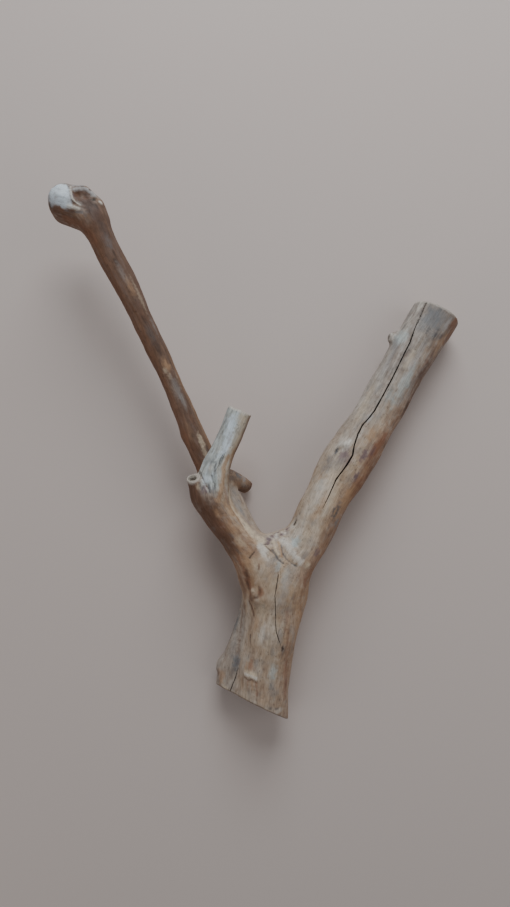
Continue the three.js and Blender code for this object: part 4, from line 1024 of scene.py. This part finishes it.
def painted(points, normals, grain, crack):
    """The wood's colour at each point: tones, some of them painted light and shade, then streaks and pores,
    then single marks, then painted shade in the cracks.
    """
    paint = Paint(points, normals, grain)
    mix, facing = paint.mix, paint.facing
    broad = grain.noise(9, 34, 1)
    middle = grain.noise(3.4, 16, 2)
    fine = grain.noise(1.5, 9, 3)
    cloud = noise(points / 34, 4)
    blotch = noise(points / 11, 5)
    mottle = noise(points / 4.5, 7)
    mix(0.35 * smooth(-0.1, 0.7, broad), TAN)
    mix(0.3 * smooth(0.0, 0.7, -broad + 0.4 * cloud), PALE)
    mix(0.25 * smooth(0.1, 0.6, blotch), TAN)
    mix(0.25 * smooth(0.1, 0.6, -blotch), GREY)
    # Paler where the skin faces up towards the window lamp: partly the wood's weathered grey, partly
    # painted highlight. Browner where it faces down and away: partly the wood's colour, partly painted
    # shade.
    mix(0.36 * facing((-0.3, 0.85, 0.4), 0.1, 0.95) * (0.7 + 0.5 * cloud), PALE)
    mix(0.6 * facing((0.1, -0.9, -0.25), -0.1, 0.9), RUST)
    long = paint_limbs(paint, points[:, 1], blotch + 0.5 * mottle)
    mix(0.22 * smooth(0.15, 0.6, middle), BROWN)
    mix(0.16 * smooth(0.2, 0.7, fine), DARK)
    mix(0.12 * (1 - long) * smooth(0.2, 0.7, -fine), PALE)
    mix(0.2 * smooth(0.15, 0.6, mottle), BROWN)
    mix(0.16 * (1 - long) * smooth(0.15, 0.6, -mottle), PALE)
    mix(0.3 * (1 - 0.7 * long) * smooth(0.25, 0.65, grain.noise(5, 14, 9)), BLUE_GREY)
    specks = grain.noise(1.1, 3.0, 12) - 0.2 * np.abs(noise(points / 14, 13))
    mix(0.5 * smooth(0.42, 0.65, specks), DARK)
    for patch in PATCHES:
        paint.patch(*patch)
    for line in LINES:
        paint.line(*line)
    paint_ends(paint)
    # Painted shade inside the cracks.
    mix(crack, CRACK_SHADE)
    return paint.colour


# ------------------------ the cracks' groove

CRACK_REACH = 8.0  # margin round a crack in which points may belong to it, mm


def crack_taper(number, place):
    """How open a crack is at each place along it, from 0 to about 1."""
    if number == 0:
        # The long crack is widest past its middle and runs out over the sawn end.
        return smooth(1, 0.8, place) * (0.86 + 0.25 * np.exp(-((place - 0.6) / 0.2) ** 2))
    return smooth(0, 0.12, place) * smooth(1, 0.75, place)


def crack_depth(points, normals):
    """How deep each point sinks into a crack, in mm, and how much painted shade darkens it there, more in
    deeper cracks.
    """
    sink = np.zeros(len(points))
    dark = np.zeros(len(points))
    for number, (path, half, depth) in enumerate(CRACKS):
        near = np.flatnonzero(near_path(points, path, CRACK_REACH))
        p = points[near]
        side, place = off_path(p, path, normals[near])
        wander = 0.35 * noise(p / 6.0, 21) + 0.15 * noise(p / 2.0, 22)
        side = np.abs(side + wander * half)
        taper = crack_taper(number, place)
        far = side / np.maximum(half * taper, 0.05)
        inside = smooth(1.15, 0.35, far) * (taper > 0.03)
        sink[near] = np.maximum(sink[near], depth * np.sqrt(taper) * inside)
        shade = min(1, 0.3 + 0.45 * depth) * smooth(1.5, 0.7, far) * smooth(0, 0.3, taper)
        dark[near] = np.maximum(dark[near], shade)
    return sink, dark


# ------------------------ flat ends


def end_places(points, normals):
    """Where a point lies on a cut face, in mm from its heart, and how surely it is on one."""
    place = np.zeros((len(points), 3))
    sure = np.zeros(len(points))
    for at, faces, way, reach, _, _ in CUT_FACES.values():
        first = np.cross(faces, (0.3, 0.2, 0.9))
        first /= np.linalg.norm(first)
        second = np.cross(faces, first)
        offset = points - at
        _, side = off_line(points, at, way)
        on = smooth(1.6, 0.7, np.abs(offset @ faces)) * smooth(0.35, 0.75, normals @ faces) * (side < reach)
        hit = on > sure
        place[hit] = np.stack([offset[hit] @ first, offset[hit] @ second, offset[hit] @ faces], 1)
        sure[hit] = on[hit]
    return place, sure


END_COLOURS = {
    "butt": linear(150, 128, 106),
    "limb": linear(150, 132, 112),
    "stub": linear(190, 182, 168),
    "hollow": linear(186, 176, 164),
    "spur": linear(104, 84, 70),
}


def end_colours(points):
    """The colour of the cut face that is nearest to each point."""
    apart = [((points - CUT_FACES[name][0]) ** 2).sum(1) for name in END_COLOURS]
    return np.array(list(END_COLOURS.values()))[np.argmin(apart, axis=0)]


# ------------------------ material


def wood_material(name):
    """Bare weathered wood: painted colour, fibres along the grain, growth rings on cut ends."""
    material = bpy.data.materials.new(name)
    material.use_nodes = True
    nodes, links = material.node_tree.nodes, material.node_tree.links
    shader = nodes["Principled BSDF"]

    def node(kind, operation=None, **inputs):
        """A new node, its sockets by name or, as s0, s1 and so on, by number: a number or a link."""
        new = nodes.new("ShaderNode" + kind)
        if operation:
            new.operation = operation
        for key, value in inputs.items():
            number = key[1:]
            socket = new.inputs[int(number) if number.isdigit() else key.replace("_", " ")]
            if isinstance(value, bpy.types.NodeSocket):
                links.new(value, socket)
            else:
                socket.default_value = value
        return new

    def attribute(name, output="Vector"):
        new = node("Attribute")
        new.attribute_name = name
        return new.outputs[output]

    def calc(operation, *values):
        return node("Math", operation, **{f"s{i}": value for i, value in enumerate(values)}).outputs[0]

    def texture(vector, by, detail):
        scaled = node("VectorMath", "MULTIPLY", s0=vector, s1=by).outputs[0]
        return node("TexNoise", Vector=scaled, Scale=1.0, Detail=detail, Roughness=0.5).outputs["Fac"]

    def mapped(value, low, high, to_low, to_high):
        new = node("MapRange", Value=value, From_Min=low, From_Max=high, To_Min=to_low, To_Max=to_high)
        new.interpolation_type = "SMOOTHSTEP"
        return new.outputs["Result"]

    def parts(vector):
        return node("SeparateXYZ", s0=vector).outputs

    shares = parts(attribute("grain_share"))

    def fibres(across, along, detail):
        """Noise in streaks of a width and a length in mm, blended from the runs of grain."""
        total = None
        for share, run in zip(shares, ("thick", "front", "rear")):
            streaks = texture(attribute("grain_" + run), (1 / across, 1 / across, 1 / along), detail)
            part = calc("MULTIPLY", streaks, share)
            total = calc("ADD", total, part) if total else part
        return total

    fine = fibres(0.6, 9, 3.0)
    coarse = fibres(2.4, 20, 2.0)
    flecks = fibres(0.9, 3, 1.0)
    shade = calc("MULTIPLY", mapped(fine, 0.3, 0.7, 1.12, 0.84), mapped(coarse, 0.3, 0.7, 1.06, 0.92))
    shade = calc("MULTIPLY", shade, mapped(flecks, 0.64, 0.76, 1.0, 0.62))

    # growth rings and saw marks on the cut ends
    end = attribute("end_place")
    x, y, _ = parts(end)
    radius = calc("SQRT", calc("ADD", calc("MULTIPLY", x, x), calc("MULTIPLY", y, y)))
    wobble = calc("MULTIPLY", texture(end, (0.12, 0.12, 0.12), 2.0), 6.0)
    rings = calc("SINE", calc("MULTIPLY", calc("ADD", radius, wobble), 3.2))
    marks = texture(end, (0.25, 2.4, 0.0), 2.0)
    end_shade = calc("MULTIPLY", mapped(rings, -1, 1, 0.72, 0.95), mapped(marks, 0.35, 0.65, 0.82, 1.08))
    both = node("Mix", Factor=attribute("end_sure", "Fac"), s2=shade, s3=end_shade).outputs[0]
    tint = node("VectorMath", "SCALE", s0=attribute("tint", "Color"), Scale=both)
    links.new(tint.outputs[0], shader.inputs["Base Color"])
    links.new(mapped(coarse, 0.3, 0.7, 0.58, 0.78), shader.inputs["Roughness"])
    shader.inputs["Specular IOR Level"].default_value = 0.35
    height = calc("SUBTRACT", calc("MULTIPLY", both, 0.4), calc("MULTIPLY", fine, 0.8))
    bump = node("Bump", Strength=0.55, Distance=0.0003, Height=height)
    links.new(bump.outputs[0], shader.inputs["Normal"])
    return material


# ------------------------ pieces

TURN = np.array(LIE_TURN.to_matrix())
ABOVE_FLOOR = 0.02 * MM  # no point of the wood is lower than this


def lie_down(points):
    """From the crotch's frame in mm to the part's frame in metres."""
    return (points @ TURN.T + np.array(LIE_SHIFT)) * MM


def open_rings(index, counts):
    """The rings of edges that have a face on one side only, each walked backwards, as its cap goes."""
    first = np.concatenate([[0], np.cumsum(counts)])
    after = np.arange(len(index)) + 1
    after[first[1:] - 1] = first[:-1]
    a, b = index, index[after]
    many = index.max() + 1
    alone = ~np.isin(a * many + b, b * many + a)
    following = dict(zip(b[alone].tolist(), a[alone].tolist()))
    rings = []
    while following:
        begin = here = next(iter(following))
        ring = []
        while here in following:
            ring.append(here)
            here = following.pop(here)
        if here == begin and len(ring) > 2:
            rings.append(ring)
    return rings


def add_piece(node, faces, sizes, loops, points, normals, looks):
    """One piece of the skin, closed by flat caps where it meets its neighbours."""
    starts = first_loops(sizes)
    take = np.concatenate([np.arange(s, s + n) for s, n in zip(starts[faces], sizes[faces])])
    used, index = np.unique(loops[take], return_inverse=True)
    caps = open_rings(index, sizes[faces])
    corner_normals = [normals[used][index]]
    for ring in caps:
        ring_points = points[used[ring]]
        flat = np.cross(ring_points, np.roll(ring_points, -1, 0)).sum(0)
        corner_normals.append(np.tile(flat / np.linalg.norm(flat), (len(ring), 1)))
    all_loops = np.concatenate([index] + [np.array(ring) for ring in caps])
    all_sizes = np.concatenate([sizes[faces], [len(ring) for ring in caps]]).astype(int)
    mesh = raw_mesh(node + "_wood", points[used], all_loops, all_sizes)
    mesh.normals_split_custom_set(np.concatenate(corner_normals).astype(np.float32))
    for name, (kind, field, values) in looks.items():
        layer = mesh.attributes.new(name, kind, "POINT")
        layer.data.foreach_set(field, values[used].astype(np.float32).ravel())
    mesh.materials.append(wood_material(node + "_wood"))
    piece = add_object(node + "_wood", mesh)
    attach(piece, "root")
    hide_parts(node)


def looks_of(points, normals, grain, dark, place, sure):
    """What the material reads at each point, by name: kind of attribute, its field, values."""
    colour = painted(points, normals, grain, dark)
    worn = 0.8 * sure * (0.8 + 0.3 * noise(points / 7, 51))
    colour += (end_colours(points) - colour) * np.clip(worn, 0, 1)[:, None]
    # The spur is too small for a run of its own in the material, and takes the rear one.
    share = grain.share[:, :3].copy()
    share[:, 2] += grain.share[:, 3]
    vectors = {"grain_share": share, "end_place": place}
    for run, places in zip(("thick", "front", "rear"), grain.places):
        vectors["grain_" + run] = places
    looks = {name: ("FLOAT_VECTOR", "vector", values) for name, values in vectors.items()}
    looks["tint"] = ("FLOAT_COLOR", "color", np.concatenate([colour, np.ones((len(colour), 1))], 1))
    looks["end_sure"] = ("FLOAT", "value", sure)
    return looks


def add_wood():
    """The skin of the whole branch, roughened, cracked and painted, then cut into its pieces."""
    mesh = cut_at_forks_and_refine(*skin())
    points, loops, sizes, edges = arrays_of(mesh)
    label = bodies_of(points, edges, on_forks(points))
    normals = normals_of(mesh)
    grain = Grain(points)
    place, sure = end_places(points, normals)
    sink, dark = crack_depth(points, normals)
    ripple = 0.26 * grain.noise(3.4, 70, 41) + 0.12 * grain.noise(1.7, 26, 42)
    ripple = ripple + 0.55 * noise(points / 21, 43) + 0.22 * noise(points / 8, 44)
    rise = ripple * (1 - sure) * (1 - np.minimum(dark, 1)) - sink
    moved = lie_down(points + normals * rise[:, None])
    moved[:, 2] = np.maximum(moved[:, 2], ABOVE_FLOOR)
    mesh.vertices.foreach_set("co", moved.astype(np.float32).ravel())
    mesh.update()
    shading = normals_of(mesh)
    bpy.data.meshes.remove(mesh)
    looks = looks_of(points, normals, grain, dark, place, sure)
    face_body = np.maximum.reduceat(label[loops], first_loops(sizes))
    free = np.flatnonzero(label >= 0)
    for node, limb, station in PIECES:
        inside, _ = point_at(limb, station)
        body = label[free[np.argmin(((points[free] - inside) ** 2).sum(1))]]
        add_piece(node, np.flatnonzero(face_body == body), sizes, loops, moved, shading, looks)


# ------------------------ floor, light, camera

FLOOR_SIZE = 12.0  # m
# Lamps: where they are and look at, in metres, their size, power in watts and colour.
LAMPS = {
    "window": ((0.12, 1.35, 1.0), (0, 0, 0.05), 1.0, 21.0, (0.96, 0.98, 1.0)),
    "room": ((1.1, -0.2, 1.1), (0, 0, 0.0), 1.4, 4.0, (1.0, 0.93, 0.87)),
    "bounce": ((-0.9, -0.5, 0.35), (0, 0, 0.03), 0.9, 1.6, (1.0, 0.86, 0.76)),
}
SKY_COLOUR, SKY_STRENGTH = (0.92, 0.94, 1.0, 1), 0.2
EYE = (-12.9, 90.9, 745.0)  # where the camera is, in the crotch's frame, mm
SENSOR, LENS = 36.0, 27.98  # mm


def add_object(name, data):
    thing = bpy.data.objects.new(name, data)
    bpy.context.scene.collection.objects.link(thing)
    return thing


def plain_floor():
    mesh = bpy.data.meshes.new("floor")
    half = FLOOR_SIZE / 2
    corners = [(-half, -half, 0), (half, -half, 0), (half, half, 0), (-half, half, 0)]
    mesh.from_pydata(corners, [], [(0, 1, 2, 3)])
    floor = add_object("floor", mesh)
    material = bpy.data.materials.new("floor")
    material.use_nodes = True
    shader = material.node_tree.nodes["Principled BSDF"]
    shader.inputs["Base Color"].default_value = (*linear(205, 194, 188), 1)
    shader.inputs["Roughness"].default_value = 0.85
    mesh.materials.append(material)


def light():
    """A soft window light, the room's weaker lights, and a faint sky."""
    for name, (at, target, size, power, colour) in LAMPS.items():
        lamp = bpy.data.lights.new(name, "AREA")
        lamp.size = size
        lamp.energy = power
        lamp.color = colour
        thing = add_object(name, lamp)
        thing.location = at
        thing.rotation_euler = (Vector(target) - Vector(at)).to_track_quat("-Z", "Y").to_euler()
    world = bpy.data.worlds.new("pale_room")
    world.use_nodes = True
    background = world.node_tree.nodes["Background"]
    background.inputs["Color"].default_value = SKY_COLOUR
    background.inputs["Strength"].default_value = SKY_STRENGTH
    bpy.context.scene.world = world


def camera():
    """The camera, which looks straight down on the branch."""
    lens = bpy.data.cameras.new("camera")
    lens.sensor_width = SENSOR
    lens.lens = LENS
    lens.clip_start = 0.01
    thing = add_object("camera", lens)
    thing.location = lie_down(np.array(EYE))
    thing.rotation_euler = LIE_TURN.to_euler()
    bpy.context.scene.camera = thing


# ------------------------ the scene

for name in ("Cube", "Light", "Camera"):
    if name in bpy.data.objects:
        bpy.data.objects.remove(bpy.data.objects[name])
add_wood()
plain_floor()
light()
camera()
bpy.context.view_layer.update()
